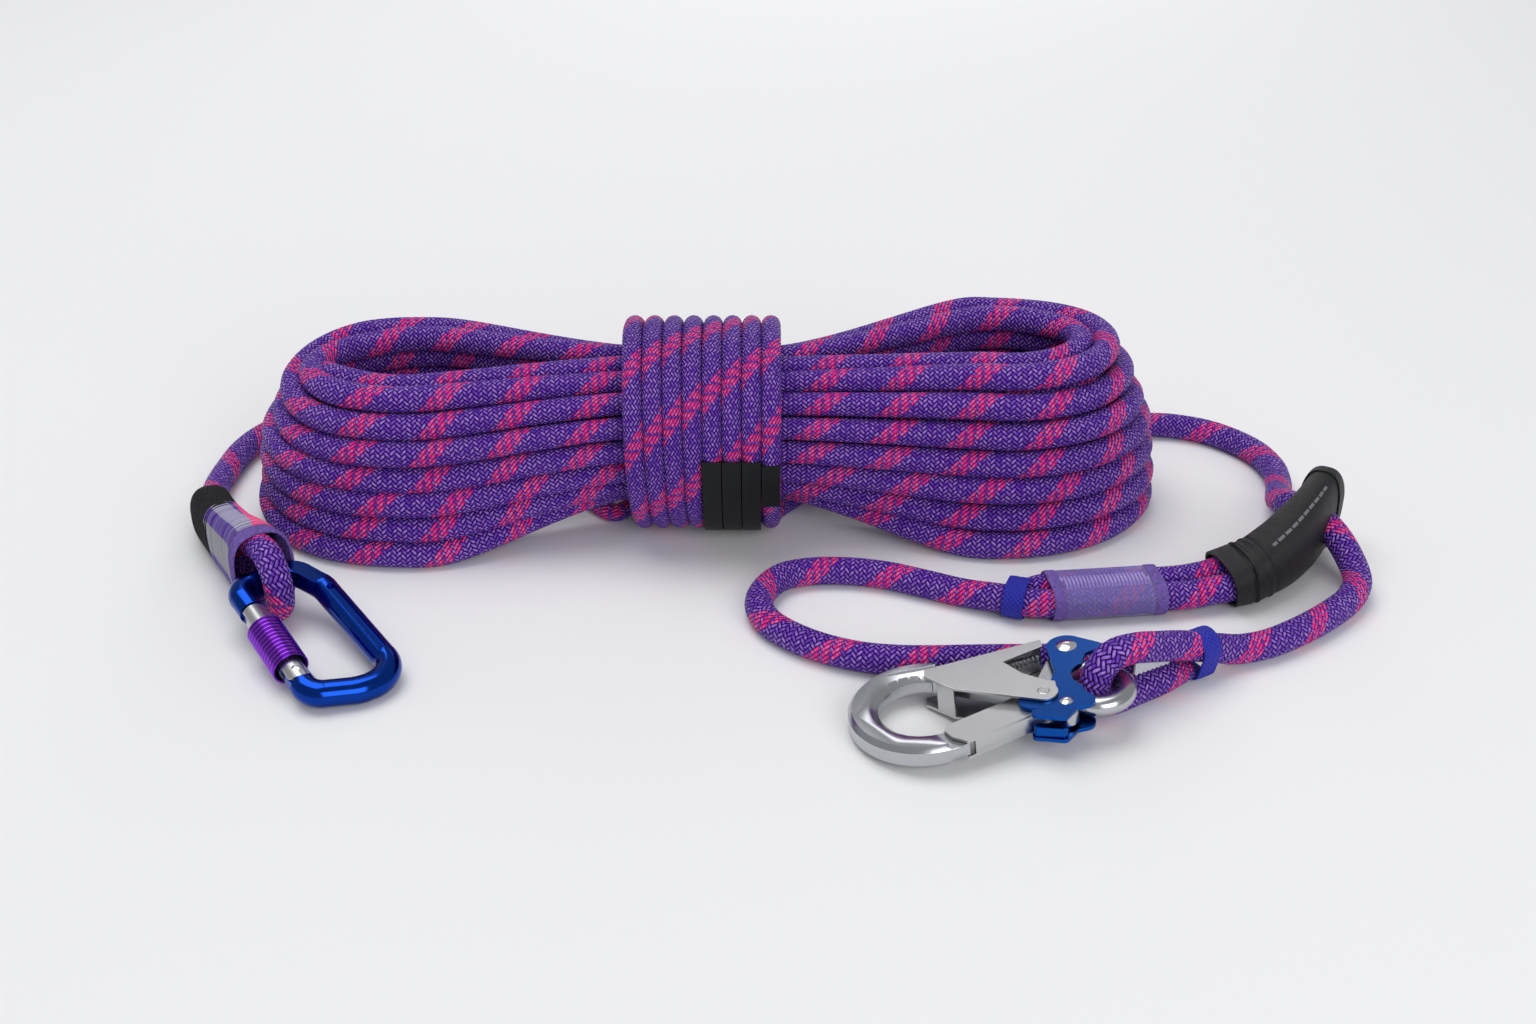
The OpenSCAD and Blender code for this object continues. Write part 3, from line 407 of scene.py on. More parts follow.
def sleeveFinish(name, look):
    # black fine-ribbed cloth with soft folds and a dashed pale tracer line
    material, tree, shader = newFinish(name, Roughness=0.55)
    shader.inputs["Specular IOR Level"].default_value = 0.35
    around, along = surfacePlace(tree)
    ribs = calc(tree, "SINE", calc(tree, "MULTIPLY", along, 2 * math.pi / look["ribPitch"]))
    stretch = tree.nodes.new("ShaderNodeCombineXYZ")
    tree.links.new(calc(tree, "MULTIPLY", around, 0.35), stretch.inputs[0])
    tree.links.new(along, stretch.inputs[1])
    folds = noise(tree, stretch.outputs[0], 190, 2, 0.4)
    fibre = noise(tree, objectPlace(tree), 1200, 3)
    line = calc(tree, "LESS_THAN", calc(tree, "ABSOLUTE", calc(
        tree, "SUBTRACT", around, look["tracerAround"])), look["tracerHalf"])
    dashes = calc(tree, "LESS_THAN", calc(tree, "FRACT", calc(
        tree, "DIVIDE", along, look["dashPitch"])), look["dashShare"])
    first, last = look["tracerSpan"]
    span = calc(tree, "MULTIPLY", calc(tree, "GREATER_THAN", along, first),
                calc(tree, "LESS_THAN", along, last))
    mark = calc(tree, "MULTIPLY", calc(tree, "MULTIPLY", line, dashes), span)
    black = blendColour(tree, fibre, look["black"], look["rubbed"])
    tree.links.new(blendColour(tree, calc(tree, "MULTIPLY", mark, 0.85), black,
                               look["tracer"]), shader.inputs["Base Color"])
    cloth = calc(tree, "MULTIPLY_ADD", fibre, 0.12, calc(tree, "MULTIPLY", ribs, 0.05))
    relief(tree, shader, calc(tree, "ADD", folds, cloth), look["depth"])
    return material


slideAxis = Vector(next(j["axis"] for j in frame["record"]["behaviour"]["joints"]
                        if j["name"] == "screw_sleeve_slide"))
ropeBraid = braidFinish("ropeBraid", braid)
whippingCloth = weaveFinish("whippingCloth", {
    # the second colour is painted shade for the weave's dips
    "colour": (0.016, 0.022, 0.56), "recessShade": (0.001, 0.001, 0.06),
    "pitch": 0.0019, "depth": 0.0006})
collarFelt = feltFinish("collarFelt", (0.009, 0.009, 0.010), 700)
tapeFilm = plasticFinish("tapeFilm", (0.006, 0.007, 0.008), 0.5, 0.3, 120, 0.2)
shrinkFilm = shrinkFinish("shrinkFilm", (0.95, 0.93, 1.0))
blockFilm = shrinkFinish("blockFilm", (0.56, 0.46, 0.88), 0.8, 1.12)
bandFelt = feltFinish("bandFelt", (0.105, 0.065, 0.24), 900)
sewingThread = plasticFinish("sewingThread", (0.82, 0.76, 0.97), 0.38, 0.2, 2400)
satinSilver = metalFinish("satinSilver", (0.56, 0.56, 0.57), 0.32)
forgedSilver = metalFinish("forgedSilver", (0.50, 0.51, 0.54), 0.24)
brightSteel = metalFinish("brightSteel", (0.78, 0.78, 0.79), 0.18)
springSteel = metalFinish("springSteel", (0.42, 0.42, 0.43), 0.25)
blueAnodised = metalFinish("blueAnodised", (0.006, 0.078, 0.38), 0.24)
navyAnodised = metalFinish("navyAnodised", (0.006, 0.045, 0.33), 0.16)
screwRings = {
    "length": 0.024, "radius": 0.00673, "wall": 0.0006,
    "pitch": 0.002, "depth": 0.00045,
    "lip": 0.00024,  # how much smaller the two ends are
    "levels": 8,  # rows of corners in one ring
    "sides": 64,
}
# the second colour is painted shade for the sleeve's grooves
purpleRings = ringedMetal("purpleRings", (0.30, 0.05, 0.72), (0.07, 0.008, 0.22),
                          screwRings["pitch"], 0.20)
sleeveCloth = sleeveFinish("sleeveCloth", sleeveLook)
tagTape = plasticFinish("tagTape", (0.50, 0.52, 0.56), 0.6, 0.2, 900)
tubeRibs = {
    "pitch": 0.0022, "height": 0.0004, "girth": 0.0585,
    # the dark colour here is painted shade for the grooves between the ribs
    "pale": (0.85, 0.80, 0.95), "recessShade": (0.012, 0.004, 0.05), "ground": (0.075, 0.024, 0.30),
    "stripes": [  # start and end as shares of the way round, widening per metre, colour
        (0.28, 0.39, 0.0, (0.32, 0.30, 0.46)),
        (0.185, 0.225, 2.2, (0.95, 0.05, 0.25)),
        (0.52, 0.66, 0.0, (0.30, 0.30, 0.34)),
    ],
}
ribbedTube = ribbedFinish("ribbedTube", tubeRibs)
print("finishes ready")

# the places below are in millimetres; this shift centres the part on the origin
centring = Vector((3.9, -0.5, 0))


def toMetres(points):
    return [(Vector(p) + centring) * 0.001 for p in points]


def flowLine(points, step, extras):
    # centripetal curve through the points, cut into even steps
    # extras: one number per point, carried along with the curve
    rows = [tuple(p) + (e,) for p, e in zip(points, extras)]
    rows = [tuple(2 * x - y for x, y in zip(rows[0], rows[1]))] + rows
    rows.append(tuple(2 * x - y for x, y in zip(rows[-1], rows[-2])))
    dense = []
    pieces = 24
    for k in range(1, len(rows) - 2):
        quad = rows[k - 1:k + 3]
        knots = [0.0]
        for m in range(3):
            gap = (Vector(quad[m + 1][:3]) - Vector(quad[m][:3])).length
            knots.append(knots[-1] + max(gap, 1e-6) ** 0.5)
        for s in range(pieces):
            t = knots[1] + (knots[2] - knots[1]) * s / pieces

            def mixRow(r0, r1, t0, t1):
                f = (t - t0) / (t1 - t0)
                return tuple(x + (y - x) * f for x, y in zip(r0, r1))

            a1 = mixRow(quad[0], quad[1], knots[0], knots[1])
            a2 = mixRow(quad[1], quad[2], knots[1], knots[2])
            a3 = mixRow(quad[2], quad[3], knots[2], knots[3])
            b1 = mixRow(a1, a2, knots[0], knots[2])
            b2 = mixRow(a2, a3, knots[1], knots[3])
            dense.append(mixRow(b1, b2, knots[1], knots[2]))
    dense.append(rows[-2])
    spots = [0.0]
    for k in range(1, len(dense)):
        spots.append(spots[-1] + (Vector(dense[k][:3]) - Vector(dense[k - 1][:3])).length)
    count = max(2, round(spots[-1] / step))
    line = []
    k = 0
    for n in range(count + 1):
        goal = spots[-1] * n / count
        while k < len(spots) - 2 and spots[k + 1] < goal:
            k += 1
        f = (goal - spots[k]) / max(spots[k + 1] - spots[k], 1e-12)
        line.append(tuple(x + (y - x) * f for x, y in zip(dense[k], dense[k + 1])))
    return [Vector(r[:3]) for r in line], [r[3] for r in line], spots[-1]


def addPiece(name, mesh, body, finish):
    piece = bpy.data.objects.new(name, mesh)
    scene.collection.objects.link(piece)
    mesh.materials.append(finish)
    mesh.polygons.foreach_set("use_smooth", [True] * len(mesh.polygons))
    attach(piece, body)
    return piece


def tubeAlong(name, line, radii, sides, body, finish, turned=None):
    # round tube made by a bevelled curve; its map runs round (x) and along in metres (y)
    # turned: first and last point between which the map runs round the other way
    curve = bpy.data.curves.new(name, "CURVE")
    curve.dimensions = "3D"
    curve.twist_mode = "MINIMUM"
    curve.bevel_depth = 1.0
    curve.bevel_resolution = sides // 2 - 2
    curve.use_fill_caps = True
    spline = curve.splines.new("POLY")
    spline.points.add(len(line) - 1)
    for point, place, radius in zip(spline.points, line, radii):
        point.co = (*place, 1)
        point.radius = radius
    holder = bpy.data.objects.new(name + "Line", curve)
    scene.collection.objects.link(holder)
    ready = holder.evaluated_get(bpy.context.evaluated_depsgraph_get())
    mesh = bpy.data.meshes.new_from_object(ready)
    bpy.data.objects.remove(holder)
    bpy.data.curves.remove(curve)
    mesh.name = name
    spots = [0.0]
    for k in range(1, len(line)):
        spots.append(spots[-1] + (line[k] - line[k - 1]).length)
    capped = len(mesh.vertices) - sides * len(line)  # the ends' own corners come first
    while mesh.uv_layers:
        mesh.uv_layers.remove(mesh.uv_layers[0])
    uv = mesh.uv_layers.new(name="surfaceUv")
    for face in mesh.polygons:
        corners = [mesh.loops[c].vertex_index for c in face.loop_indices]
        turns = [(c - capped) % sides for c in corners]
        levels = [(c - capped) // sides for c in corners]
        hand = -1 if turned and turned[0] <= min(levels) and max(levels) <= turned[1] else 1
        wraps = max(turns) - min(turns) > sides // 2
        for c, corner, turn in zip(face.loop_indices, corners, turns):
            if wraps and turn < sides // 2:
                turn += sides
            spot = spots[(corner - capped) // sides] if corner >= capped else \
                (0.0 if corner < capped // 2 else spots[-1])
            uv.data[c].uv = (hand * turn / sides, spot)
    bm = bmesh.new()
    bm.from_mesh(mesh)
    bmesh.ops.remove_doubles(bm, verts=bm.verts, dist=1e-7)
    bm.to_mesh(mesh)
    bm.free()
    return addPiece(name, mesh, body, finish)


def loft(name, rings, body, finish, wall=0.0, closedEnd=False):
    # skin over rings of equal count; the map is in metres round and along
    count = len(rings[0])
    bm = bmesh.new()
    side = bm.verts.layers.int.new("side")
    level = bm.verts.layers.int.new("level")
    start = bmesh.ops.create_circle(bm, segments=count, radius=1)["verts"]
    for index, vert in enumerate(start):
        vert[side] = index
        vert.co = rings[0][index]
    edges = list(bm.edges)
    for number, ring in enumerate(rings[1:], 1):
        made = bmesh.ops.extrude_edge_only(bm, edges=edges)["geom"]
        for vert in (g for g in made if isinstance(g, bmesh.types.BMVert)):
            vert[level] = number
            vert.co = ring[vert[side]]
        edges = [g for g in made if isinstance(g, bmesh.types.BMEdge)
                 and all(v[level] == number for v in g.verts)]
    spots = [0.0]
    for k in range(1, len(rings)):
        here = sum(rings[k], Vector()) / count
        before = sum(rings[k - 1], Vector()) / count
        spots.append(spots[-1] + (here - before).length)
    girth = sum((rings[0][k] - rings[0][k - 1]).length for k in range(count))
    uv = bm.loops.layers.uv.new("surfaceUv")
    for face in bm.faces:
        turns = [loop.vert[side] for loop in face.loops]
        wraps = max(turns) - min(turns) > count // 2
        for loop, turn in zip(face.loops, turns):
            if wraps and turn < count // 2:
                turn += count
            loop[uv].uv = (turn / count * girth, spots[loop.vert[level]])
    if closedEnd:
        last = [e for e in bm.edges if e.is_boundary
                and all(v[level] == len(rings) - 1 for v in e.verts)]
        bmesh.ops.holes_fill(bm, edges=last, sides=0)
    bmesh.ops.recalc_face_normals(bm, faces=bm.faces)
    mesh = bpy.data.meshes.new(name)
    bm.to_mesh(mesh)
    bm.free()
    piece = addPiece(name, mesh, body, finish)
    if wall:
        thick = piece.modifiers.new("wall", "SOLIDIFY")
        thick.thickness = wall
        thick.offset = -1
        edge = piece.modifiers.new("edge", "BEVEL")
        edge.width = wall * 0.3
        edge.segments = 2
        edge.limit_method = "ANGLE"
        edge.angle_limit = math.radians(60)
    return piece


def flattened(value, power):
    return math.copysign(abs(value) ** power, value)


def ovalRings(look):
    # stations: middle x, y, z, half width and half height, in millimetres
    # ripple: gives how far the skin stands out at a way along, in metres
    stations, step, segments = look["stations"], look["step"], look["sides"]
    squareness, grow, ripple = look["squareness"], look.get("grow", 0.0), look.get("ripple")
    places = toMetres([s[:3] for s in stations])
    line, widths, length = flowLine(places, step, [s[3] * 0.001 for s in stations])
    heights = flowLine(places, step, [s[4] * 0.001 for s in stations])[1]
    rings = []
    for k, place in enumerate(line):
        ahead = (line[min(k + 1, len(line) - 1)] - line[max(k - 1, 0)]).normalized()
        across = Vector((0, 0, 1)).cross(ahead).normalized()
        up = ahead.cross(across)
        extra = grow + (ripple(length * k / (len(line) - 1)) if ripple else 0.0)
        ring = []
        for n in range(segments):
            angle = 2 * math.pi * n / segments
            c = flattened(math.cos(angle), squareness)
            s = flattened(math.sin(angle), squareness)
            ring.append(place + across * c * (widths[k] + extra) + up * s * (heights[k] + extra))
        rings.append(ring)
    return rings


def strandRings(place, turn, strands, spots, count, grow):
    # rings round a bundle of strands (across, up, radius), in millimetres
    # spots: distances along; grow: how far each ring stands off the strands
    ahead = Vector((math.cos(math.radians(turn)), math.sin(math.radians(turn)), 0))
    across = Vector((-ahead.y, ahead.x, 0))
    halfSteps = 120
    rings = []
    for spot, extra in zip(spots, grow):
        outline = []
        for n in range(2 * halfSteps + 1):
            c, u = math.cos(math.pi * n / halfSteps), math.sin(math.pi * n / halfSteps)
            far = max(strands, key=lambda t: t[0] * c + t[1] * u + t[2])
            outline.append((far[0] + (far[2] + extra) * c, far[1] + (far[2] + extra) * u))
        reach = [0.0]
        for k in range(1, len(outline)):
            reach.append(reach[-1] + math.dist(outline[k], outline[k - 1]))
        ring = []
        k = 0
        for n in range(count):
            goal = reach[-1] * n / count
            while reach[k + 1] < goal:
                k += 1
            f = (goal - reach[k]) / max(reach[k + 1] - reach[k], 1e-9)
            a = outline[k][0] + (outline[k + 1][0] - outline[k][0]) * f
            up = outline[k][1] + (outline[k + 1][1] - outline[k][1]) * f
            ring.append(Vector(place) + ahead * spot + across * a + Vector((0, 0, up)))
        rings.append(toMetres(ring))
    return rings


sharpAngle = math.radians(38)


def dressNode(node, name, finish, bevel=0.0):
    # merged and smoothed copy of a CAD solid, which stands for it
    source = cadNodes[node]
    bm = bmesh.new()
    bm.from_mesh(source.data)
    bmesh.ops.remove_doubles(bm, verts=bm.verts, dist=2e-6)
    bmesh.ops.dissolve_limit(bm, angle_limit=math.radians(0.6), verts=bm.verts,
                             edges=bm.edges)
    mesh = bpy.data.meshes.new(name)
    bm.to_mesh(mesh)
    bm.free()
    piece = addPiece(name, mesh, source["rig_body"], finish)
    mesh.set_sharp_from_angle(angle=sharpAngle)
    if bevel:
        edge = piece.modifiers.new("edge", "BEVEL")
        edge.width = bevel
        edge.segments = 3
        edge.limit_method = "ANGLE"
        edge.angle_limit = sharpAngle
        edge.use_clamp_overlap = True
        edge.harden_normals = True
    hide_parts(node)


# radii are in metres, the other sizes here in millimetres
ropeRadius = 0.0055
cutEndRadius = 0.0036
hank = {
    "rows": 7, "lineInset": 5.5,  # a strand's middle from the hank's outside and from the floor
    "leftLobe": (-146, 62), "rightLobe": (94, 69.5),
    "reach": 69.5, "halfDepth": 60,
    "rightArc": range(104, -105, -16), "leftArc": range(284, 75, -16),  # degrees
    "shiftFrom": 236, "shiftOver": 120,  # degrees of the left arc that lead to the next loop
    "leftRise": 9.9, "rightRise": 10.9,  # height from one row to the next
    "sideInset": [0, 3, 5, 7, 10, 14, 19],
    "endInset": [0, 1, 2, 4, 8, 13, 20],
    "columnInset": 10.8,
    "strandRadius": 0.0054, "waistRadius": 0.0045,
}
wrap = {
    "middle": (-26.75, 50, 43.5), "turns": 8, "pitch": 7.7, "steps": 24,
    "lineRadius": 39.6, "strandRadius": 0.00395,
    "lean": [4.4, 3.6, 2.8, 2.0, 0.9, 0.6, 0.3, 0.0],  # sideways run of each turn down its front
    "leanBack": 0.3,  # share of the run that lies left of the turn's own place
    "firstAngle": -150, "shiftFrom": -165, "shiftOver": 130,  # degrees, up the back of a turn
}
waist = {
    "outerRadius": 27, "firstAngle": -62, "angleStep": 20.67,
    "innerMiddle": 5.2, "innerSwell": 5, "innerFoot": -27, "innerStep": 9,
    "reach": 40,  # half of the length over which the strands are pressed thinner
}


def ease(share):
    # 0 to 1 with a soft start and a soft end
    share = max(0.0, min(1.0, share))
    return share * share * (3 - 2 * share)


def rowValue(values, row):
    low = max(0, min(len(values) - 1, int(math.floor(row))))
    high = min(len(values) - 1, low + 1)
    return values[low] + (values[high] - values[low]) * (row - low)


def wobble(row, column, angle):
    # small fixed unevenness of the lay, in millimetres
    seed = row * 2.4 + column * 5.1
    return (0.9 * math.sin(angle * 2.1 + seed) + 0.6 * math.sin(angle * 3.7 + seed * 1.7))


def lobePoint(look, side, row, column, degrees):
    angle = math.radians(degrees)
    middle = look["rightLobe"] if side > 0 else look["leftLobe"]
    rise = look["rightRise"] if side > 0 else look["leftRise"]
    inset = look["lineInset"] + look["columnInset"] * column
    reach = look["reach"] - rowValue(look["endInset"], row) - inset
    depth = look["halfDepth"] - rowValue(look["sideInset"], row) - inset
    shift = wobble(row, column, angle)
    return (middle[0] + (reach + shift * 0.5) * math.cos(angle),
            middle[1] + (depth + shift * 0.5) * math.sin(angle),
            look["lineInset"] + rise * row + shift * 0.35 * min(1, row))


def waistPoint(look, bundle, row, column, side, x):
    # side is -1 in front and 1 behind
    if column == 0:
        angle = math.radians(look["firstAngle"] + look["angleStep"] * row)
        across, up = look["outerRadius"] * math.cos(angle), look["outerRadius"] * math.sin(angle)
    else:
        share = row / (hank["rows"] - 1)
        across = look["innerMiddle"] + look["innerSwell"] * math.sin(math.pi * share)
        up = look["innerFoot"] + look["innerStep"] * row
    return (x, bundle["middle"][1] + side * across, bundle["middle"][2] + up)


def hankRoute(look, bundle):
    # up the outer column of loops and down the inner one
    rows = look["rows"]
    loops = [(row, 0) for row in range(rows)] + [(rows - 1 - row, 1) for row in range(rows)]
    half = bundle["turns"] * bundle["pitch"] / 2
    left, right = bundle["middle"][0] - half - 1, bundle["middle"][0] + half + 1
    route = []
    for number, (row, column) in enumerate(loops):
        # back strand from left to right
        route.append(waistPoint(waist, bundle, row, column, 1, left))
        route.append(waistPoint(waist, bundle, row, column, 1, right))
        route += [lobePoint(look, 1, row, column, d) for d in look["rightArc"]]
        route.append(waistPoint(waist, bundle, row, column, -1, right))
        route.append(waistPoint(waist, bundle, row, column, -1, left))
        nextRow, nextColumn = loops[number + 1] if number + 1 < len(loops) else (row, column)
        for d in look["leftArc"]:
            share = ease((look["shiftFrom"] - d) / look["shiftOver"])
            route.append(lobePoint(look, -1, row + (nextRow - row) * share,
                                   column + (nextColumn - column) * share, d))
    return route


def wrapRoute(bundle):
    x, y, z = bundle["middle"]
    radius = bundle["lineRadius"]
    lean = bundle["lean"]
    route = []
    for turn in range(bundle["turns"]):
        for step in range(bundle["steps"]):
            angle = -180 + 360 / bundle["steps"] * step  # 0 is the top, 90 the front
            if turn == 0 and angle < bundle["firstAngle"]:
                continue
            back = ease((angle - bundle["shiftFrom"]) / bundle["shiftOver"])
            before = turn - 1 if turn else 0
            bottom = before * bundle["pitch"] + lean[before] * (1 - bundle["leanBack"])
            top = (turn * bundle["pitch"]
                   + lean[turn] * (max(angle, 0) / 180 - bundle["leanBack"]))
            around = math.radians(angle)
            route.append((x - (bundle["turns"] - 1) / 2 * bundle["pitch"]
                          + bottom + (top - bottom) * back,
                          y - radius * math.sin(around), z + radius * math.cos(around)))
    return route


leftTail = [(-225, 25, 18.2), (-217, 11, 19.2), (-207, -4, 22.4), (-196.5, -19, 26.3),
            (-189, -30, 27.9), (-186.2, -34.4, 26.4), (-184.1, -37.6, 22.3),
            (-183.3, -38.9, 16.7), (-184.1, -37.6, 11.1), (-186.2, -34.4, 7),
            (-189, -30, 5.5), (-196.5, -19, 6.2), (-207, -4, 6.8), (-218, 13, 7),
            (-227.5, 30, 7.2), (-233, 47, 7.2), (-236, 63, 6), (-236, 80, 5.5),
            (-234, 99, 5.5), (-228, 115, 5.5), (-217, 125, 5.5), (-202, 123, 5.5),
            (-186, 114, 7), (-166, 112, 5.5), (-146, 115, 5.5), (-128, 112, 5.5)]
rightTail = [(12, 62, 4.8), (24, 82, 4.8), (42, 106, 5.2), (64, 124, 5.5), (90, 133, 5.5),
             (114, 130.5, 5.5), (138, 124.4, 5.5), (152, 125.5, 5.5), (168, 125, 5.5),
             (182, 124, 5.5), (197, 118, 5.5), (208, 108, 5.5), (216, 95, 5.5),
             (219, 80, 5.5), (217.5, 66, 5.8), (213.5, 52, 8.5), (210.3, 39.4, 12.9),
             (211.8, 27.6, 17.2), (217.5, 16, 18.75), (223, 5, 16.2), (226.8, -5.5, 10.8),
             (227.5, -15, 6.8), (221.5, -26, 5.5), (211, -37, 5.5), (196, -49, 5.5),
             (183, -57, 5.5), (171, -62, 6.3), (162, -66, 9.3), (154, -70.5, 12.9),
             (145, -76, 17), (135, -83, 21.2), (127, -88, 24), (119.7, -92.3, 24.9),
             (115.6, -94.9, 23.6), (112.6, -96.8, 20), (111.5, -97.5, 15.2),
             (112.6, -96.8, 10.4), (115.6, -94.9, 6.8), (119.7, -92.3, 5.5),
             (128, -87, 5.5), (139, -80, 5.5), (150, -72.8, 4.6)]


def makeMainRope():
    coils = hankRoute(hank, wrap)
    turns = wrapRoute(wrap)
    entry = [(-80, 62, 5), (-64, 45, 3.9)]
    leaving = [(wrap["middle"][0] + 3.5 * wrap["pitch"] + 3, 48, 3.9)]
    route = leftTail + coils + entry + turns + leaving + rightTail
    thin, strand, full = wrap["strandRadius"], hank["strandRadius"], ropeRadius
    radii = [full] * len(leftTail)
    radii += [hank["waistRadius"] if abs(p[0] - wrap["middle"][0]) < waist["reach"] else strand
              for p in coils]
    radii += [strand, thin] + [thin] * len(turns) + [thin] + [full] * len(rightTail)
    radii[0] = radii[-1] = cutEndRadius
    line, sizes, length = flowLine(toMetres(route), 0.003, radii)
    print("main rope: %.2f m" % length)
    # the wrap's points, found by their radius away from the two cut ends
    slim = [k for k, size in enumerate(sizes) if size < thin + 0.0001 and 9 < k < len(sizes) - 9]
    piece = tubeAlong("mainRope", line, sizes, 16, "rope", ropeBraid,
                      (slim[0] + 3, slim[-1] - 3))
    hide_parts("hank", "waist_wrap", "left_tail", "right_tail")


lanyardRoute = [(147, -66.6, 5.3), (139.5, -67.2, 5.5), (131, -66.5, 5.5), (108, -67, 5.5),
                (80, -67.5, 5.5), (48, -68, 5.5), (32, -65.5, 5.5), (18, -59.5, 5.5),
                (6, -50.5, 5.5), (-1.5, -41, 5.5), (-4.5, -30, 5.5), (-2, -19, 5.5),
                (5, -9.5, 5.5), (17, -5.5, 5.5), (31, -5.5, 5.5), (45, -8.5, 5.5),
                (59, -14.5, 5.5), (74, -21.5, 5.5), (88, -28, 7.1), (97, -31.2, 7.2),
                (105.6, -32.1, 7.2), (149.6, -27.1, 7.2), (161, -25.5, 7.2),
                (174, -22.6, 8.2), (186, -18.4, 7.8), (197, -10.6, 7.4), (208, 1.6, 7.6),
                (217.5, 16, 7.6), (221, 22.6, 9.1), (223.3, 26.7, 13.1),
                (224.2, 28.3, 18.75), (223.3, 26.7, 24.4), (221, 22.6, 28.4),
                (217.5, 16, 29.9), (207, 3.2, 27.2), (196, -5.2, 21.8), (185, -10, 15.2),
                (174, -12, 9.8), (162, -13.8, 7.4), (148.4, -15.9, 7.2),
                (104.4, -20.9, 7.2), (96, -21.6, 7)]


def makeLanyard():
    radii = [ropeRadius] * len(lanyardRoute)
    radii[0] = radii[-1] = cutEndRadius
    line, sizes, length = flowLine(toMetres(lanyardRoute), 0.0025, radii)
    print("lanyard: %.2f m" % length)
    piece = tubeAlong("lanyardRope", line, sizes, 20, "rope", ropeBraid)
    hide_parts("lanyard_rope")


makeMainRope()
makeLanyard()
print("ropes ready")


def softRipple(size, waves):
    return lambda spot: size * math.sin(spot * waves)


def ribRipple(spot):
    return tubeRibs["height"] * math.cos(spot * (2 * math.pi / tubeRibs["pitch"]))


# turned-back mouth, piped seam and second band: end of each in millimetres, stand-off, ripple
sleeveBands = [(7.5, 0.0009, 0), (8.6, -0.0003, 0), (9.8, 0.0010, 0), (15.5, 0.0003, 0.0002),
               (16.4, -0.0003, 0)]


def sleeveFolds(spot):
    spot *= 1000
    for end, stand, ripple in sleeveBands:
        if spot < end:
            return stand + ripple * math.sin(spot * 1.9)
    return 0.0


covers = {
    "leftCollar": {
        "nodes": ["left_collar"], "slot": "black_fabric", "finish": collarFelt,
        "step": 0.001, "sides": 48, "squareness": 0.8, "wall": 0.0011,
        "ripple": softRipple(0.00012, 2200),
        "stations": [(-232.4, 44.5, 7.8, 7.2, 7.4), (-231, 40, 8.9, 7.9, 9.2),
                     (-228.2, 31.7, 11.2, 8.6, 11.4), (-226.4, 27.2, 12.2, 8.7, 12.4),
                     (-220, 16.2, 13.0, 8.7, 12.9), (-215.4, 8.6, 13.6, 8.7, 13.2)],
    },
    "leftStitching": {
        "nodes": ["left_stitching"], "slot": "stitching", "finish": ribbedTube,
        "step": 0.00025, "sides": 56, "squareness": 0.7, "wall": 0.0003,
        "ripple": ribRipple,
        "stations": [(-217, 11.2, 13.3, 8.2, 12.8), (-207, -4, 14.8, 8.6, 14.6),
                     (-199, -15.5, 16.4, 9.8, 16.4), (-196, -19.8, 16.7, 10.7, 16.6)],
    },
    "leftShrinkTube": {
        "nodes": ["left_shrink_tube"], "slot": "clear_shrink_tube", "finish": shrinkFilm,
        "step": 0.001, "sides": 56, "squareness": 0.7, "wall": 0.0005,
        "stations": [(-226.6, 27.6, 12.2, 7.2, 11.4), (-218, 13, 13.2, 7.2, 12.0),
                     (-207, -4, 14.8, 7.6, 13.6), (-199, -15.5, 16.4, 8.8, 15.4),
                     (-192.6, -24.6, 17.1, 11.6, 16.2)],
    },
    "leftTubeRim": {
        "nodes": ["left_shrink_tube"], "slot": "clear_shrink_tube", "finish": bandFelt,
        "step": 0.0008, "sides": 56, "squareness": 0.72, "wall": 0.0012,
        "ripple": softRipple(0.00015, 2600),
        "stations": [(-196.4, -19.3, 16.7, 10.6, 16.4), (-194.6, -21.8, 16.9, 11.4, 16.7),
                     (-192.2, -25.2, 17.1, 12.3, 16.9)],
    },
    "eyeSleeve": {
        "nodes": ["eye_sleeve", "sleeve_mouth_cuff"], "slot": "black_fabric",
        "finish": sleeveCloth, "closed": True,
        "step": 0.0006, "sides": 64, "squareness": 0.72, "wall": 0.0011,
        "ripple": sleeveFolds,
        "stations": [(174, -17.3, 9, 12.6, 7.8), (185.5, -14.2, 11.4, 11.4, 10.3),
                     (196.5, -7.9, 14.4, 9.8, 13.7), (207.5, 2.4, 17.3, 8.4, 16.5),
                     (213, 9.2, 18.4, 7.8, 17.4), (217.5, 16, 18.75, 7.5, 17.7),
                     (221.6, 23.5, 18.75, 7.4, 17.0), (223.8, 27.4, 18.7, 7.2, 14.8),
                     (225.6, 30.7, 18.65, 6.6, 10.6), (227.2, 33.6, 18.6, 4.4, 5.4),
                     (227.8, 34.7, 18.6, 1.2, 1.4)],
    },
    "sleeveTipCap": {
        "nodes": ["sleeve_tip_cuff"], "slot": "black_fabric",
        "finish": sleeveCloth, "closed": True,
        "step": 0.0006, "sides": 64, "squareness": 0.72, "wall": 0.0007, "grow": 0.0007,
        "stations": [(219.4, 19.4, 18.75, 7.5, 17.6), (221.6, 23.5, 18.75, 7.4, 17.0),
                     (223.8, 27.4, 18.7, 7.2, 14.8), (225.6, 30.7, 18.65, 6.6, 10.6),
                     (227.2, 33.6, 18.6, 4.4, 5.4), (227.9, 34.9, 18.6, 1.2, 1.4)],
    },
}


def makeCovers():
    for name, look in covers.items():
        piece = loft(name, ovalRings(look), "rope", look["finish"],
                     look["wall"], look.get("closed", False))
        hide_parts(*look["nodes"])


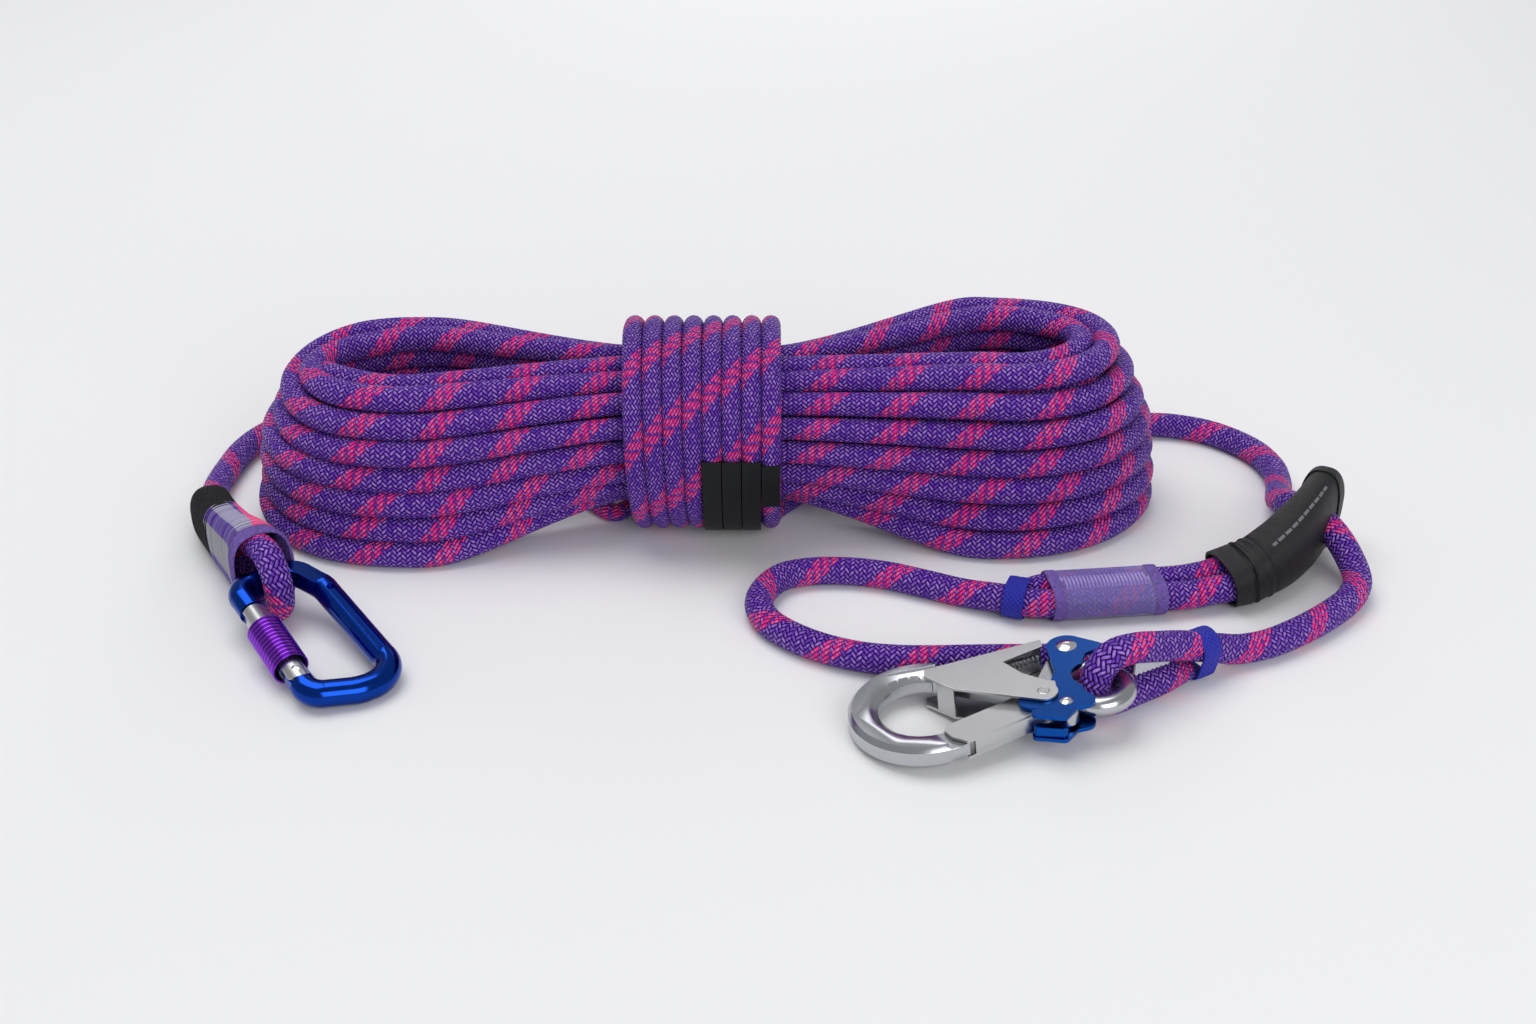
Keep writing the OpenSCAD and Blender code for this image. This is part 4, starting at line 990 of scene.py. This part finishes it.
whippings = {
    "wall": 0.0009, "sides": 64,
    "spots": [-4.2, -3.7, -3.0, -1.4, 0, 1.4, 3.0, 3.7, 4.2],
    "grow": [0.75, 1.0, 1.0, 1.1, 1.0, 1.1, 1.0, 1.0, 0.75],
    "bands": {  # node, place, turn, strands (across, up, radius)
        "hookWhipping": ("hook_whipping", (154, -70.5, 0), 30,
                         [(0, 12.9, 5.9), (-1, 4.9, 3.0), (6.6, 5.2, 3.0)]),
        "blockWhipping": ("block_whipping", (93, -29.7, 0), -18,
                          [(0, 7.2, 5.9), (6.4, 7.2, 4.8)]),
    },
}


def makeWhippings(look):
    for name, (node, place, turn, strands) in look["bands"].items():
        rings = strandRings(place, turn, strands, look["spots"], look["sides"], look["grow"])
        band = loft(name, rings, "rope", whippingCloth, look["wall"])
        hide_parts(node)


block = {
    "start": (105.6, -26.5, 7.2), "turn": 6.5, "length": 44, "legGap": 11.2,
    "sides": 72, "filmRadius": 6.5, "filmSteps": 12, "filmWall": 0.0004,
    "bandWidth": 4.6, "bandWall": 0.0006,
    "bandSpots": (0, 0.12, 0.5, 0.88, 1), "bandGrow": [0.1, 0.25, 0.3, 0.25, 0.1],
    "coilInset": 5.2, "coilPitch": 1.42, "coilSteps": 16, "coilWide": 5.5, "coilHigh": 5.85,
    "thread": 0.0005,
}


def makeBlock(look):
    # clear film over two sewn legs, felt bands at its ends and thread bars in the groove
    angle = math.radians(look["turn"])
    ahead = Vector((math.cos(angle), math.sin(angle), 0))
    across = Vector((-ahead.y, ahead.x, 0))
    start = Vector(look["start"])
    legs = [(side * look["legGap"] / 2, 0, look["filmRadius"]) for side in (-1, 1)]
    for number, end in enumerate((0, look["length"] - look["bandWidth"])):
        spots = [end + look["bandWidth"] * f for f in look["bandSpots"]]
        rings = strandRings(start, look["turn"], legs, spots, look["sides"], look["bandGrow"])
        band = loft("blockBand%d" % (number + 1), rings, "rope", bandFelt,
                    look["bandWall"])
        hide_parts("block_shrink_tube")
    steps = look["filmSteps"]
    spots = [look["length"] * k / steps for k in range(steps + 1)]
    rings = strandRings(start, look["turn"], legs, spots, look["sides"], [0.0] * (steps + 1))
    film = loft("blockShrinkTube", rings, "rope", blockFilm,
                look["filmWall"])
    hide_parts("block_shrink_tube")
    span = look["length"] - 2 * look["coilInset"]
    steps = int(span / look["coilPitch"]) * look["coilSteps"]
    coil = []
    for k in range(steps + 1):
        bend = 2 * math.pi * k / look["coilSteps"]
        side, rise = flattened(math.sin(bend), 0.7), flattened(math.cos(bend), 0.4)
        coil.append(start + ahead * (look["coilInset"] + span * k / steps)
                    + across * look["coilWide"] * side + Vector((0, 0, look["coilHigh"] * rise)))
    thread = tubeAlong("blockStitching", toMetres(coil), [look["thread"]] * len(coil), 6,
                       "rope", sewingThread)
    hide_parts("block_stitching")


makeCovers()
makeWhippings(whippings)
makeBlock(block)
dressNode("hook_eye_tag", "hookEyeTag", tagTape)
dressNode("long_tape_bands", "longTapeBands", tapeFilm, 0.0002)
dressNode("short_tape_band", "shortTapeBand", tapeFilm, 0.0002)
print("covers ready")


def makeScrewSleeve(look):
    # turned sleeve with even rings, on the axis of the CAD sleeve
    source = cadNodes["screw_sleeve"]
    spots = [source.matrix_world @ v.co for v in source.data.vertices]
    middle = Vector([(min(p[k] for p in spots) + max(p[k] for p in spots)) / 2
                     for k in range(3)])
    ahead = slideAxis.normalized()
    across = ahead.orthogonal().normalized()
    up = ahead.cross(across)
    levels = look["levels"] * round(look["length"] / look["pitch"])
    angles = [2 * math.pi * n / look["sides"] for n in range(look["sides"])]
    rings = []
    for level in range(levels + 1):
        share = level / levels
        groove = 0.5 - 0.5 * math.cos(2 * math.pi * level / look["levels"])
        radius = look["radius"] - look["depth"] * groove
        if level in (0, levels):
            radius -= look["lip"]
        rings.append([middle + ahead * look["length"] * (share - 0.5)
                      + (across * math.cos(angle) + up * math.sin(angle)) * radius
                      for angle in angles])
    sleeve = loft("screwSleeve", rings, source["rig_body"], purpleRings,
                  look["wall"])
    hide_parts("screw_sleeve")


makeScrewSleeve(screwRings)

for node, name, slotName, finish, bevel in (
        ("carabiner_frame", "carabinerFrame", "blue_anodised", navyAnodised, 0.0004),
        ("carabiner_gate", "carabinerGate", "satin_silver", satinSilver, 0.0004),
        ("gate_rivet", "gateRivet", "steel", brightSteel, 0.0003),
        ("gate_plunger", "gatePlunger", "steel", brightSteel, 0.0),
        ("gate_spring", "gateSpring", "steel", springSteel, 0.0),
        ("hook_frame", "hookFrame", "satin_silver", forgedSilver, 0.0006),
        ("housing_top_plate", "housingTopPlate", "blue_anodised", blueAnodised, 0.0004),
        ("housing_bottom_plate", "housingBottomPlate", "blue_anodised", blueAnodised, 0.0004),
        ("thumb_bridge", "thumbBridge", "blue_anodised", blueAnodised, 0.0003),
        ("big_rivet", "bigRivet", "steel", brightSteel, 0.0),
        ("small_rivet", "smallRivet", "steel", brightSteel, 0.0),
        ("pivot_pin", "pivotPin", "steel", brightSteel, 0.0003),
        ("hook_gate", "hookGate", "satin_silver", satinSilver, 0.0003),
        ("lock_lever", "lockLever", "satin_silver", satinSilver, 0.0003),
        ("lever_spring", "leverSpring", "steel", springSteel, 0.0),
        ("spring_anchor", "springAnchor", "steel", springSteel, 0.0)):
    dressNode(node, name, finish, bevel)
print("metal ready")
